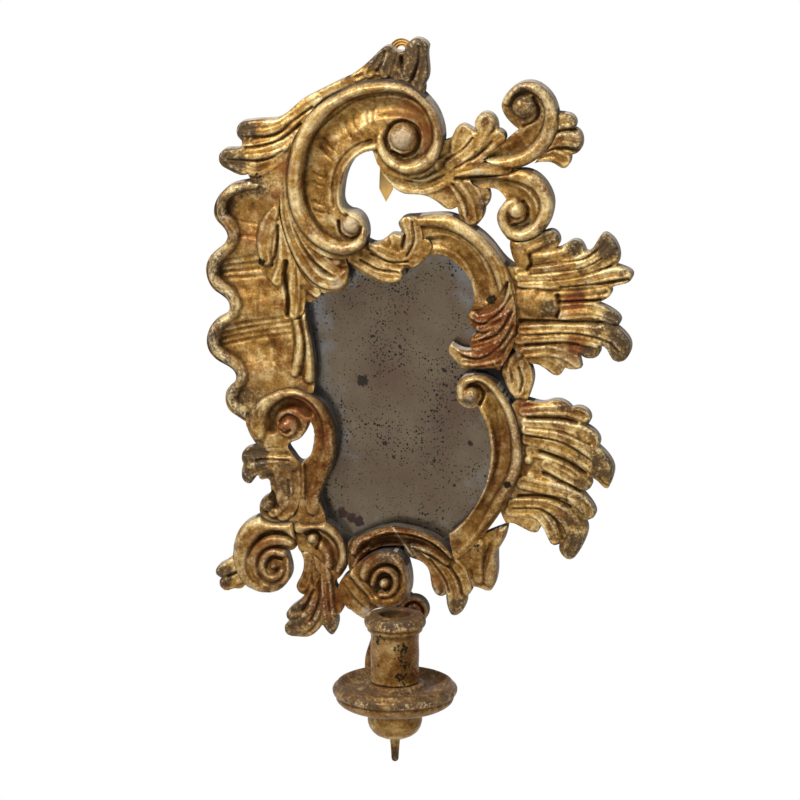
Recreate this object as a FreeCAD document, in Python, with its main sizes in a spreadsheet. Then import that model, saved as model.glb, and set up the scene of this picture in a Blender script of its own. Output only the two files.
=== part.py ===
import FreeCAD, Part
import Sketcher
import math
import os
import re
from FreeCAD import Placement, Rotation, Vector

# Carved giltwood wall mirror with one candle arm. Lengths in mm, +Z up, +X to the viewer's right.
# The wall is the plane y = 0 and the front looks along -Y. The origin is the wall nail's place.

# Driving dimensions
DIMENSIONS = [
    ("frame_width", 322.0, "carved frame, from the left shell to the right leaf tips"),
    ("ground_thickness", 14.0, "pine board that everything is glued to"),
    ("ground_lip", 4.0, "wood left in front of the looking-glass"),
    ("rebate_width", 3.6, "how far the glass reaches behind the lip"),
    ("glass_thickness", 3.0, "looking-glass plate"),
    ("glass_clearance", 0.4, "play around the glass and the backboard"),
    ("backboard_thickness", 4.0, "thin board behind the glass"),
    ("sprig_diameter", 1.8, "nails that hold the backboard"),
    ("sprig_length", 13.0, "whole length of such a nail"),
    ("scroll_relief", 27.0, "height of the large scrolls above the board"),
    ("moulding_relief", 19.0, "height of the mouldings round the glass"),
    ("leaf_relief", 17.0, "height of the leaves"),
    ("shell_relief", 18.0, "height of the fluted shell"),
    ("arm_projection", 92.0, "candle axis from the wall"),
    ("arm_diameter", 17.0, "carved arm at its thickest"),
    ("arm_volute_diameter", 23.0, "curl at the arm's root"),
    ("arm_root_width", 22.0, "root block below the board"),
    ("arm_root_depth", 16.0, "root block, front to back"),
    ("arm_root_height", 25.0, "root block, top to bottom"),
    ("strap_width", 15.0, "iron strap at the back of the arm"),
    ("strap_thickness", 2.0, "iron strap"),
    ("strap_length", 50.0, "iron strap"),
    ("strap_nail_diameter", 3.2, "nails of the strap"),
    ("strap_nail_length", 11.0, "nails of the strap"),
    ("socket_diameter", 23.0, "hole for the candle"),
    ("socket_depth", 30.0, "hole for the candle"),
    ("nozzle_diameter", 37.0, "turned body of the nozzle"),
    ("nozzle_ring_diameter", 46.4, "ring at the nozzle's mouth"),
    ("nozzle_ring_height", 15.0, "ring at the nozzle's mouth"),
    ("nozzle_height", 52.5, "nozzle from the pan to its mouth"),
    ("pan_diameter", 94.0, "drip pan"),
    ("pan_height", 22.0, "drip pan"),
    ("pan_dish_depth", 5.0, "hollow that catches the wax"),
    ("pan_rim_width", 6.5, "roll round the pan"),
    ("knop_diameter", 41.4, "turned half ball below the pan"),
    ("knop_height", 22.6, "turned half ball below the pan"),
    ("pin_diameter", 6.4, "iron pin through nozzle, pan and knop"),
    ("pin_end_diameter", 8.0, "pin where it leaves the knop"),
    ("pin_tip_diameter", 5.6, "rounded tip of the pin"),
    ("pin_end_length", 18.4, "part of the pin below the knop"),
    ("pin_head_diameter", 13.0, "head of the pin in the socket"),
    ("pin_head_height", 2.4, "head of the pin in the socket"),
    ("pin_clearance", 0.08, "running fit of nozzle and pan on the pin, on the radius"),
    ("stack_clearance", 0.3, "play between pieces that turn"),
    ("staple_wire", 2.4, "iron staple for the ribbon"),
    ("staple_span", 15.0, "between the staple's legs"),
    ("staple_leg", 16.0, "length of a leg"),
    ("ribbon_thickness", 1.2, "satin ribbon, gathered double"),
]

# The photograph's view, for outlines read from it in its 800 x 800 frame
FRAME_WIDTH_PX = 427
MIDDLE_PX = 400
VIEW_LENGTH_PX = 5333
VIEW_AZIMUTH = math.radians(10.0)
VIEW_ELEVATION = math.radians(14.0)
NAIL_PX = (402, 46)

# Depths in shares of the board's thickness
EDGE_DEPTH_SHARE = 1.5
RIBBON_DEPTH_SHARE = 0.6

# Carved relief: the edge's share of the relief, the ridge's spread and the pitch of the surface
EDGE_SHARE = 0.58
RIDGE_SPREAD_PX = 9
PITCH_PX = 5
MARGIN_PX = 12
SMALLEST_PIECE_SHARE = 0.05

# Outlines as runs of pixel points: a run is one smooth curve and runs meet at corners.
# Ridges are the crests of the carving. Blocks stand in order, front ones first.
CARVINGS = [
    ("crest_scroll", "scroll_relief",
     [[(340, 91), (322, 102), (305, 121), (293, 143), (287, 168), (287, 190), (291, 210), (300, 230),
       (313, 244), (330, 254), (347, 256), (360, 251), (368, 240), (369, 228), (363, 214), (352, 209)],
      [(352, 209), (345, 203), (344, 190), (347, 174), (354, 160), (363, 152), (375, 149)],
      [(375, 149), (378, 158), (386, 168), (396, 173), (409, 176), (422, 173), (434, 165), (442, 152),
       (445, 137), (443, 122), (436, 106), (426, 94), (414, 84), (400, 79), (384, 78), (362, 81), (340, 91)]],
     [[(362, 89), (335, 103), (312, 126), (297, 155), (294, 188), (303, 217), (322, 241), (347, 249),
       (360, 240)], [(385, 85), (415, 95), (434, 120), (435, 145), (420, 164), (400, 166), (386, 155)],
      [(372, 146), (352, 160), (340, 180), (339, 203)], [(400, 139), (402, 139)], [(349, 226), (351, 226)]]),
    ("branch_upper_scroll", "leaf_relief",
     [[(484, 158), (495, 150), (504, 142), (513, 134), (520, 129)],
      [(520, 129), (512, 123), (505, 114), (502, 105), (505, 96), (513, 87), (522, 82), (532, 81),
       (542, 85), (550, 92), (556, 102), (559, 114), (559, 128), (554, 140), (547, 150), (538, 158),
       (528, 164), (520, 167)], [(520, 167), (505, 166), (484, 158)]],
     [[(500, 162), (538, 149), (550, 120), (540, 92)], [(522, 107), (524, 109)]]),
    ("branch_lower_scroll", "leaf_relief",
     [[(470, 178), (490, 177), (505, 174), (520, 169)],
      [(520, 169), (533, 171), (543, 178), (550, 188), (554, 200), (553, 213), (549, 224), (542, 233),
       (532, 239), (522, 241), (511, 240), (503, 232), (498, 222), (498, 212), (502, 205), (507, 199)],
      [(507, 199), (503, 194), (496, 189), (488, 188), (470, 178)]],
     [[(500, 176), (537, 184), (547, 208), (532, 232), (508, 230)], [(515, 212), (517, 212)]]),
    ("right_sight_scroll", "moulding_relief",
     [[(457, 392), (458, 383), (464, 376), (473, 373), (485, 374), (495, 380), (503, 390), (511, 402),
       (517, 416), (521, 432), (523, 450), (522, 468), (518, 482), (510, 497), (500, 513), (489, 528),
       (477, 542), (465, 552), (455, 559)], [(455, 559), (452, 546), (449, 533)],
      [(449, 533), (465, 520), (474, 508), (481, 496), (487, 481), (490, 465), (491, 448), (488, 430),
       (483, 416), (478, 405)], [(478, 405), (471, 408), (463, 405), (458, 399), (457, 392)]],
     [[(463, 390), (475, 380), (497, 392), (513, 425), (516, 455), (505, 490), (480, 525), (458, 550)],
      [(470, 396), (471, 397)], [(486, 418), (492, 450), (484, 492), (455, 530)]]),
    ("leaf_bud", "leaf_relief",
     [[(514, 352), (521, 351), (527, 358), (532, 367), (534, 377), (532, 388), (528, 399)],
      [(528, 399), (521, 401), (513, 394), (507, 384), (503, 374)],
      [(503, 374), (505, 363), (514, 352)]],
     [[(516, 364), (520, 386)]]),
    ("sight_acanthus", "moulding_relief",
     [[(472, 309), (468, 316), (473, 326), (481, 331)], [(481, 331), (470, 341), (473, 349)],
      [(473, 349), (463, 349), (452, 343)], [(452, 343), (449, 349), (454, 358), (462, 368)],
      [(462, 368), (480, 367), (500, 369)], [(500, 369), (507, 358), (514, 344), (517, 325), (516, 300),
       (509, 278)], [(509, 278), (500, 292), (488, 303), (472, 309)]],
     [[(474, 318), (495, 314), (509, 290)], [(473, 342), (500, 326)], [(455, 351), (490, 349), (511, 318)],
      [(502, 362), (512, 338)]]),
    ("top_leaf", "moulding_relief",
     [[(347, 257), (356, 268), (370, 277), (386, 283), (400, 281), (405, 274)],
      [(405, 274), (404, 269), (414, 267), (424, 261), (431, 252), (433, 243), (429, 238), (424, 238)],
      [(424, 238), (421, 224), (414, 216), (405, 216), (399, 222)],
      [(399, 222), (401, 228), (404, 234), (394, 233), (386, 238), (378, 242), (369, 240)],
      [(369, 240), (362, 250), (347, 257)]],
     [[(352, 260), (380, 275), (399, 275)], [(374, 250), (402, 262), (427, 246)], [(408, 222), (412, 252)]]),
    ("corner_volute", "moulding_relief",
     [[(262, 514), (250, 519), (241, 527), (236, 538), (234, 550), (236, 564), (242, 578), (252, 587),
       (264, 591), (277, 590), (287, 583), (292, 573), (291, 561), (287, 549)],
      [(287, 549), (292, 549), (297, 546)], [(297, 546), (297, 533), (294, 520)],
      [(294, 520), (280, 521), (269, 519), (262, 514)]],
     [[(290, 534), (264, 523), (243, 545), (248, 574), (268, 585), (284, 572)], [(269, 566), (271, 568)]]),
    ("left_sight_scroll", "moulding_relief",
     [[(247, 421), (250, 432), (262, 446)], [(262, 446), (275, 445), (286, 447), (293, 455), (299, 463)],
      [(299, 463), (301, 478), (301, 492), (300, 506), (294, 518)], [(294, 518), (312, 522), (327, 519)],
      [(327, 519), (324, 508), (321, 496), (324, 486), (330, 474), (335, 458), (337, 440), (335, 424),
       (328, 409), (318, 397), (305, 389), (292, 386), (278, 389), (265, 396), (255, 404), (247, 421)]],
     [[(264, 404), (292, 392), (320, 409), (328, 440), (318, 475), (312, 508)], [(287, 430), (289, 430)],
      [(257, 420), (262, 436)]]),
    ("corner_small_scroll", "moulding_relief",
     [[(294, 518), (312, 522), (327, 519)], [(327, 519), (338, 529), (346, 542), (348, 556), (345, 570),
       (338, 578)], [(338, 578), (329, 567), (318, 556), (300, 549)], [(300, 549), (296, 534), (294, 518)]],
     [[(300, 532), (324, 526), (341, 550), (339, 568)], [(309, 540), (311, 541)]]),
    ("apron_scroll", "scroll_relief",
     [[(352, 570), (358, 562), (367, 555), (378, 549), (391, 547), (402, 550), (409, 562), (412, 578),
       (410, 593), (404, 601), (392, 605), (376, 607), (368, 618)],
      [(368, 618), (356, 611), (346, 601), (340, 588)], [(340, 588), (343, 577), (352, 570)]],
     [[(370, 560), (385, 553), (402, 563), (405, 585), (392, 599), (370, 598), (362, 585)],
      [(380, 586), (381, 587)], [(346, 580), (366, 605)]]),
    ("bottom_arch", "moulding_relief",
     [[(349, 541), (360, 535), (375, 529), (391, 525), (408, 527), (424, 531), (438, 538), (449, 547),
       (456, 560)], [(456, 560), (452, 568)],
      [(452, 568), (440, 561), (425, 552), (410, 546), (391, 544), (376, 547), (366, 554), (358, 562),
       (351, 573)], [(351, 573), (348, 557), (349, 541)]],
     [[(352, 550), (388, 532), (418, 536), (452, 560)]]),
    ("shell_leaf", "shell_relief",
     [[(275, 198), (271, 209), (262, 216), (257, 232), (257, 246), (260, 258)],
      [(260, 258), (264, 272), (275, 282), (282, 294), (284, 318)], [(284, 318), (303, 318)],
      [(303, 318), (307, 300)], [(307, 300), (313, 301), (319, 298), (322, 293), (313, 285)],
      [(313, 285), (303, 272), (294, 254), (287, 236), (281, 215), (280, 197)],
      [(280, 197), (275, 198)]],
     [[(275, 212), (268, 245)], [(281, 225), (293, 270), (296, 312)], [(300, 284), (315, 294)]]),
    ("crest_foot_leaf", "moulding_relief",
     [[(286, 182), (281, 198), (282, 215), (287, 236), (294, 254), (303, 272), (313, 285), (322, 291),
       (333, 292), (343, 290), (349, 282), (350, 271), (347, 258)], [(347, 258), (318, 240), (298, 215),
       (286, 182)]],
     [[(285, 205), (293, 240), (313, 272), (338, 284)], [(310, 252), (336, 264)]]),
    ("top_sight_scroll", "moulding_relief",
     [[(408, 215), (425, 214), (440, 213), (452, 214), (463, 219), (474, 226), (485, 236), (495, 247),
       (503, 258), (509, 268), (514, 281), (517, 296), (517, 312)], [(517, 312), (470, 312)],
      [(470, 312), (475, 298), (473, 286), (467, 274), (459, 265), (450, 258), (440, 254), (428, 254)],
      [(428, 254), (420, 240), (408, 215)]],
     [[(412, 222), (450, 224), (480, 244), (502, 275), (508, 303)], [(436, 250), (462, 264), (478, 290)]]),
    ("crest_leaf", "leaf_relief",
     [[(350, 76), (362, 67), (372, 58), (380, 50), (386, 46), (391, 46)], [(391, 46), (398, 51), (405, 50)],
      [(405, 50), (409, 42), (416, 38), (424, 40), (429, 46)], [(429, 46), (428, 57), (429, 67), (425, 84)],
      [(425, 84), (424, 93), (384, 82), (362, 84), (350, 76)]],
     [[(416, 44), (413, 76)], [(386, 52), (378, 74)], [(400, 56), (396, 76)]]),
    ("crest_side_leaf", "leaf_relief",
     [[(350, 76), (338, 81), (320, 90), (303, 99), (290, 110), (280, 117), (262, 119), (250, 120),
       (240, 123), (237, 130), (242, 140)],
      [(242, 140), (241, 147), (230, 148), (222, 151), (219, 158), (222, 165), (230, 170), (239, 174),
       (249, 173)], [(249, 173), (256, 182), (275, 180), (287, 192)], [(287, 192), (310, 150), (362, 84)],
      [(362, 84), (350, 76)]],
     [[(345, 82), (300, 108), (275, 126), (245, 128)], [(294, 130), (268, 150), (228, 158)]]),
    ("branch_stem", "leaf_relief",
     [[(380, 165), (386, 178), (394, 187), (404, 193), (416, 194), (428, 196), (437, 201), (445, 207),
       (458, 206)], [(458, 206), (460, 216), (464, 224), (469, 227), (476, 225), (482, 219), (485, 208)],
      [(485, 208), (490, 199), (488, 188)], [(488, 188), (505, 178), (520, 169)], [(520, 169), (484, 161)],
      [(484, 161), (495, 150), (504, 142)], [(504, 142), (506, 136), (504, 132), (498, 129)],
      [(498, 129), (497, 121), (492, 114), (485, 112), (479, 115), (477, 130)],
      [(477, 130), (470, 127), (463, 124), (457, 127), (453, 135), (446, 140)],
      [(446, 140), (430, 150), (380, 165)]],
     [[(395, 182), (425, 187), (455, 170), (500, 168)], [(461, 131), (462, 158)], [(487, 120), (470, 158)],
      [(470, 218), (468, 192)]]),
    ("branch_tip_leaf", "leaf_relief",
     [[(558, 112), (566, 113), (572, 115), (576, 120), (575, 128)],
      [(575, 128), (581, 133), (583, 141), (581, 149), (571, 154)],
      [(571, 154), (571, 160), (568, 166), (564, 168), (556, 164), (546, 161), (535, 163)],
      [(535, 163), (545, 145), (558, 112)]],
     [[(558, 122), (574, 121)], [(556, 139), (580, 142)], [(550, 154), (566, 162)]]),
    ("left_spur", "leaf_relief",
     [[(264, 444), (252, 446), (245, 449), (242, 455), (244, 463)],
      [(244, 463), (242, 472), (244, 480), (250, 483), (255, 478), (259, 474)],
      [(259, 474), (263, 479), (268, 478), (271, 486), (270, 493), (263, 498), (260, 506), (262, 514),
       (270, 520), (280, 522), (296, 519)], [(296, 519), (304, 500), (304, 465), (286, 442), (264, 444)]],
     [[(249, 474), (278, 464), (292, 490), (282, 512)], [(250, 454), (275, 456)], [(267, 506), (268, 508)]]),
    ("pendent_leaf", "leaf_relief",
     [[(300, 549), (304, 558), (304, 567), (300, 578), (297, 586), (299, 591), (305, 594)],
      [(305, 594), (300, 600), (292, 606), (287, 612), (291, 621)],
      [(291, 621), (285, 627), (287, 633), (297, 636), (309, 636), (317, 631), (323, 624)],
      [(323, 624), (328, 631), (332, 634), (337, 628), (336, 615)], [(336, 615), (342, 611), (344, 603),
       (342, 594), (336, 584), (340, 574)], [(340, 574), (325, 550), (300, 549)]],
     [[(316, 560), (325, 600), (331, 627)], [(317, 580), (294, 612)], [(319, 590), (300, 630)],
      [(330, 580), (339, 604)], [(306, 570), (303, 588)]]),
    ("corner_leaf", "leaf_relief",
     [[(233, 555), (226, 561), (219, 565), (216, 571), (222, 577)],
      [(222, 577), (221, 586), (227, 590), (234, 588), (239, 588), (246, 583)],
      [(246, 583), (248, 570), (233, 555)]],
     [[(221, 570), (238, 566)], [(226, 585), (240, 576)]]),
    ("apron_leaf", "leaf_relief",
     [[(405, 545), (410, 556), (420, 560), (428, 567), (431, 578), (433, 588), (439, 595), (447, 593)],
      [(447, 593), (448, 606), (454, 615), (461, 612), (466, 604), (467, 595)],
      [(467, 595), (472, 590), (471, 580), (474, 556)], [(474, 556), (440, 550), (405, 545)]],
     [[(415, 552), (442, 572), (455, 604)], [(437, 588), (431, 568)], [(456, 570), (466, 588)]]),
    ("apron_corner", "leaf_relief",
     [[(471, 585), (480, 587), (490, 590), (496, 581), (498, 565), (498, 549)],
      [(498, 549), (504, 540), (508, 524)], [(508, 524), (480, 535), (458, 552), (471, 585)]],
     [[(500, 530), (490, 550), (486, 580)]]),
    ("upper_leaf_spray", "leaf_relief",
     [[(511, 239), (511, 250), (514, 259), (518, 266)], [(518, 266), (508, 266)],
      [(508, 266), (512, 300), (512, 345)],
      [(512, 345), (520, 354), (533, 363)], [(533, 363), (545, 368), (556, 375), (565, 367)],
      [(565, 367), (574, 369), (582, 367)], [(582, 367), (579, 351)],
      [(579, 351), (588, 358), (596, 357), (600, 345)],
      [(600, 345), (608, 350), (614, 360), (622, 361), (629, 355), (631, 343), (625, 333), (617, 326)],
      [(617, 326), (621, 320), (614, 311), (598, 303)], [(598, 303), (607, 298), (612, 292), (611, 288)],
      [(611, 288), (622, 284), (631, 280), (633, 274), (626, 268), (617, 265)],
      [(617, 265), (620, 256), (618, 246), (612, 237), (604, 233), (599, 238), (586, 251)],
      [(586, 251), (584, 246), (580, 241), (573, 240), (566, 244), (556, 248)],
      [(556, 248), (558, 234), (553, 230), (545, 231), (532, 237), (511, 239)]],
     [[(520, 278), (560, 277), (605, 252)], [(520, 288), (580, 284), (626, 275)],
      [(550, 297), (606, 292)], [(518, 336), (570, 334), (605, 342), (620, 352)], [(550, 238), (524, 254)],
      [(574, 248), (545, 262)], [(530, 354), (560, 360), (577, 364)], [(560, 316), (612, 317)]]),
    ("lower_leaf_spray", "leaf_relief",
     [[(520, 398), (529, 399), (545, 402), (552, 400), (560, 400), (567, 403), (572, 408)],
      [(572, 408), (581, 407), (588, 411), (591, 417), (586, 425)],
      [(586, 425), (594, 430), (600, 439), (599, 446)],
      [(599, 446), (608, 455), (614, 467), (612, 480), (607, 488), (599, 482), (590, 477)],
      [(590, 477), (592, 485), (583, 491)], [(583, 491), (591, 501), (596, 512), (585, 520)],
      [(585, 520), (588, 528), (586, 538), (580, 550), (569, 559), (562, 554), (560, 543)],
      [(560, 543), (553, 544), (547, 535), (541, 525)], [(541, 525), (536, 532), (526, 529), (507, 523)],
      [(507, 523), (500, 505), (510, 450), (508, 410), (520, 398)]],
     [[(525, 412), (565, 418), (597, 440)], [(525, 430), (575, 448), (609, 475)],
      [(527, 444), (570, 468), (588, 484)], [(520, 486), (560, 496), (590, 514)],
      [(516, 508), (555, 518), (572, 550)], [(532, 407), (566, 405)]]),
    ("shell_panel", "shell_relief",
     [[(256, 178), (243, 181), (232, 184), (222, 192), (215, 204), (216, 218), (224, 227), (228, 236),
       (223, 245), (213, 253), (207, 264), (208, 279), (215, 290), (224, 296), (230, 304), (229, 311),
       (218, 318), (210, 328), (207, 340), (210, 352), (218, 360), (229, 366), (236, 373), (236, 380),
       (229, 387), (226, 397), (229, 408), (237, 415), (252, 424)],
      [(252, 424), (275, 400), (314, 392)], [(314, 392), (315, 362), (312, 340), (308, 320), (305, 299)],
      [(305, 299), (296, 250), (290, 190)], [(290, 190), (275, 176), (256, 178)]],
     [[(254, 184), (228, 194), (220, 210), (233, 234), (222, 252), (213, 271), (224, 291), (236, 306),
       (222, 322), (213, 341), (228, 360), (243, 376), (233, 396), (246, 415)],
      [(225, 276), (262, 272)], [(225, 344), (288, 336)], [(300, 304), (307, 340), (307, 374)]]),
]

# The see-through hole inside the left sight scroll
LEFT_HOLE = [[(310, 419), (306, 431), (300, 438), (289, 444), (294, 453), (302, 461), (309, 457),
              (314, 444), (315, 432), (310, 419)]]

# The pine board: the end of its tongue, its outer edge and the opening in front of the looking-glass
TONGUE_CORNERS = [(372, 598), (400, 598)]
GROUND_OUTER = [
    [(291, 196), (276, 190), (262, 187), (240, 190), (224, 204), (226, 222), (238, 238), (228, 252),
     (216, 268), (220, 284), (238, 304), (226, 322), (216, 340), (224, 354), (244, 372), (237, 394),
     (252, 412), (268, 398), (290, 393), (308, 398), (319, 412), (323, 436), (319, 456), (308, 470),
     (309, 492), (302, 512), (300, 534), (312, 550), (334, 560)],
    [(334, 560), (354, 576), (364, 594), TONGUE_CORNERS[0]], TONGUE_CORNERS,
    [TONGUE_CORNERS[1], (405, 580), (404, 556)],
    [(404, 556), (424, 548), (446, 560), (464, 548), (486, 524), (504, 506), (532, 514), (556, 512),
     (562, 496), (566, 474), (582, 462), (574, 436), (552, 414), (528, 408), (516, 384), (520, 362),
     (540, 350), (572, 344), (586, 330), (572, 306), (590, 288), (582, 266), (552, 262), (522, 272),
     (505, 264), (490, 246), (472, 230), (450, 219), (424, 220), (404, 230)],
    [(404, 230), (392, 240), (372, 246), (358, 238), (340, 216), (337, 200)], [(337, 200), (291, 196)],
]
SIGHT_OPENING = [
    (306, 302), (308, 322), (311, 345), (312, 366), (312, 382), (320, 394), (330, 408), (335, 424),
    (337, 440), (335, 456), (330, 473), (323, 488), (321, 498), (324, 510), (330, 522), (342, 535),
    (354, 541), (374, 533), (391, 529), (408, 531), (424, 535), (440, 542), (452, 538), (466, 525),
    (477, 511), (485, 496), (491, 480), (494, 464), (495, 447), (493, 428), (489, 410), (486, 380),
    (487, 350), (486, 322), (480, 296), (474, 280), (464, 266), (450, 254), (434, 248), (414, 252),
    (392, 262), (366, 264), (344, 268), (322, 280),
]

# The candle arm's middle line: pixel place and its distance from the wall as a share of the projection
ARM_ROOT_PX = (394, 604)
ARM_LINE = [(381, 640, 0.16), (374, 664, 0.2), (378, 694, 0.28)]
ARM_END_SHARES = [0.95, 0.7]
ARM_VOLUTE_PX = (413, 611)
ARM_VOLUTE_DEPTH_SHARE = 0.13
ARM_REACH_SHARES = [0.52, 0.86]
ARM_BELOW_PAN_SHARE = 0.5
NOZZLE_MOUTH_PX = (395, 613)
STRAP_NAIL_SHARES = [0.1, 0.32, 0.68, 0.9]

# Turned profiles: radius and height as shares, from the foot up
KNOP_SHARES = [(0.17, 0.0), (0.34, 0.15), (0.45, 0.36), (0.5, 0.61), (0.485, 0.85), (0.45, 1.0)]
PAN_UNDER_SHARES = [(0.36, 0.14), (0.455, 0.3), (0.495, 0.41), (0.5, 0.56), (0.498, 0.72), (0.475, 0.89)]
PAN_DISH_SHARES = [(0.39, 0.5), (0.36, 0.0), (0.26, 0.0)]
PAN_RIM_SHARE = 0.98
PAN_BOSS_SHARE = 0.53
NOZZLE_NECK_SHARE = 0.49
NOZZLE_RING_SHARES = [(0.44, 0.82), (0.485, 0.68), (0.5, 0.54), (0.49, 0.3), (0.465, 0.1)]
NOZZLE_LIP_SHARE = 0.31

# Sprigs round the backboard: places along the opening
SPRIG_SHARES = [0.04, 0.16, 0.3, 0.43, 0.55, 0.68, 0.8, 0.92]

# The ribbon: the loop over the nail, its eye and the tail that hangs behind the crest
RIBBON_LOOP = [[(392, 76), (388, 62), (387, 53), (392, 43), (401, 36), (409, 38), (414, 46), (412, 60),
                (405, 76)]]
RIBBON_EYE = [[(398, 66), (395, 56), (396, 50), (400, 45), (404, 44), (407, 48), (406, 56), (402, 66),
               (398, 66)]]
RIBBON_TAIL = [[(392, 76), (386, 125), (381, 174)], [(381, 174), (386, 202)], [(386, 202), (395, 186)],
               [(395, 186), (399, 130), (405, 76)]]
STAPLE_PX = (399, 72)

doc = FreeCAD.newDocument("giltwood_mirror")
sheet = doc.addObject("Spreadsheet::Sheet", "Dimensions")
for row, (alias, value, meaning) in enumerate(DIMENSIONS, start=1):
    sheet.set(f"A{row}", meaning)
    sheet.set(f"B{row}", str(value))
    sheet.setAlias(f"B{row}", alias)
doc.recompute()


def size(alias):
    """A driving dimension in mm."""
    return float(sheet.get(alias))


# Laying the photograph's points back onto planes parallel to the wall
MM_PER_PX = size("frame_width") / FRAME_WIDTH_PX
BACKWARD = Vector(math.sin(VIEW_AZIMUTH) * math.cos(VIEW_ELEVATION),
                  -math.cos(VIEW_AZIMUTH) * math.cos(VIEW_ELEVATION), math.sin(VIEW_ELEVATION))
RIGHTWARD = Vector(math.cos(VIEW_AZIMUTH), math.sin(VIEW_AZIMUTH), 0)
UPWARD = BACKWARD.cross(RIGHTWARD)
GROUND = size("ground_thickness")
EDGE_DEPTH = GROUND * EDGE_DEPTH_SHARE
RIBBON_DEPTH = GROUND * RIBBON_DEPTH_SHARE
EYE_FROM_MIDDLE = BACKWARD * (VIEW_LENGTH_PX * MM_PER_PX)


def from_middle(point, depth):
    """A pixel's place on the plane at a distance from the wall, seen from the view's middle."""
    aside = (point[0] - MIDDLE_PX) / VIEW_LENGTH_PX
    above = (MIDDLE_PX - point[1]) / VIEW_LENGTH_PX
    ray = RIGHTWARD * aside + UPWARD * above - BACKWARD
    reach = (EDGE_DEPTH - depth - EYE_FROM_MIDDLE.y) / ray.y
    return EYE_FROM_MIDDLE + ray * reach


NAIL_FROM_MIDDLE = from_middle(NAIL_PX, RIBBON_DEPTH)


def place(point, depth):
    """A pixel's place in the part's own frame, on the plane at a distance from the wall."""
    seen = from_middle(point, depth)
    return Vector(seen.x - NAIL_FROM_MIDDLE.x, -depth, seen.z - NAIL_FROM_MIDDLE.z)


# Outlines and simple solids
def curve(points):
    """One smooth edge through the points, straight between two."""
    if len(points) == 2:
        return Part.makeLine(points[0], points[1])
    spline = Part.BSplineCurve()
    spline.interpolate(points)
    return spline.toShape()


def flat(vector):
    """The vector without its distance from the wall."""
    return Vector(vector.x, 0, vector.z)


def face_of(runs, depth):
    """A flat face on the plane y = 0 from runs of pixel points read at a distance from the wall."""
    edges = [curve([flat(place(point, depth)) for point in run]) for run in runs]
    return Part.Face(Part.Wire(Part.__sortEdges__(edges)))


def polygon_face(points):
    """A flat face with straight sides."""
    return Part.Face(Part.makePolygon(points + points[:1]))


def slab(face, back, front):
    """The solid between two distances from the wall."""
    moved = face.translated(Vector(0, -back, 0))
    return moved.extrude(Vector(0, back - front, 0))


def pushed_out(points, distance):
    """A closed row of points moved outward along its normals."""
    area = sum(a.x * b.z - b.x * a.z for a, b in zip(points, points[1:] + points[:1]))
    outward = math.copysign(distance, area)
    moved = []
    for before, here, after in zip(points[-1:] + points[:-1], points, points[1:] + points[:1]):
        along = after - before
        moved.append(here + Vector(along.z, 0, -along.x).normalize() * outward)
    return moved


def rod(start, end, diameter):
    """A round bar between two points."""
    along = end - start
    return Part.makeCylinder(diameter / 2, along.Length, start, along)


def add(label, shape, moved=Vector()):
    """Put a finished shape into the document under its own name."""
    piece = doc.addObject("Part::Feature", label)
    piece.Label = label
    piece.Shape = shape
    piece.Placement = Placement(moved, Rotation())
    return piece


pieces = []

# Carved blocks, glued to the front of the board
PITCH = PITCH_PX * MM_PER_PX
SPREAD = RIDGE_SPREAD_PX * MM_PER_PX
MARGIN = MARGIN_PX * MM_PER_PX


def away(spot, start, end):
    """Distance from a spot to a straight stretch of a ridge."""
    along = end - start
    share = max(0.0, min(1.0, (spot - start).dot(along) / along.dot(along)))
    return spot.distanceToPoint(start + along * share)


def relief_solid(box, ridges, relief):
    """The space behind a smooth carved surface that rises along the ridges."""
    stretches = [pair for ridge in ridges for pair in zip(ridge, ridge[1:])]
    columns = math.ceil((box.XLength + 2 * MARGIN) / PITCH)
    rows = math.ceil((box.ZLength + 2 * MARGIN) / PITCH)
    grid = []
    for column in range(columns + 1):
        x = box.XMin - MARGIN + (box.XLength + 2 * MARGIN) * column / columns
        line = []
        for row in range(rows + 1):
            z = box.ZMin - MARGIN + (box.ZLength + 2 * MARGIN) * row / rows
            nearest = min(away(Vector(x, 0, z), *pair) for pair in stretches)
            swell = math.exp(-(nearest / SPREAD) ** 2)
            line.append(Vector(x, -relief * (EDGE_SHARE + (1 - EDGE_SHARE) * swell), z))
        grid.append(line)
    surface = Part.BSplineSurface()
    surface.interpolate(grid)
    return surface.toShape().extrude(Vector(0, 2 * relief, 0))


carved = {}
taken = []
for label, relief_name, runs, ridge_rows in CARVINGS:
    face = face_of(runs, EDGE_DEPTH)
    if label == "left_sight_scroll":
        face = face.cut(face_of(LEFT_HOLE, EDGE_DEPTH))
    whole_area = face.Area
    neighbours = [other for other in taken if other.BoundBox.intersect(face.BoundBox)]
    taken.append(face.Faces[0])
    if neighbours:
        face = face.cut(neighbours)
    kept = [part for part in face.Faces if part.Area > SMALLEST_PIECE_SHARE * whole_area]
    relief = size(relief_name)
    ridges = [[flat(place(point, EDGE_DEPTH)) for point in ridge] for ridge in ridge_rows]
    solids = []
    for part in kept:
        block = slab(part, 0, 2 * relief)
        solids += block.common(relief_solid(part.BoundBox, ridges, relief)).Solids
    carved[label] = Part.makeCompound(solids) if len(solids) > 1 else solids[0]

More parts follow.
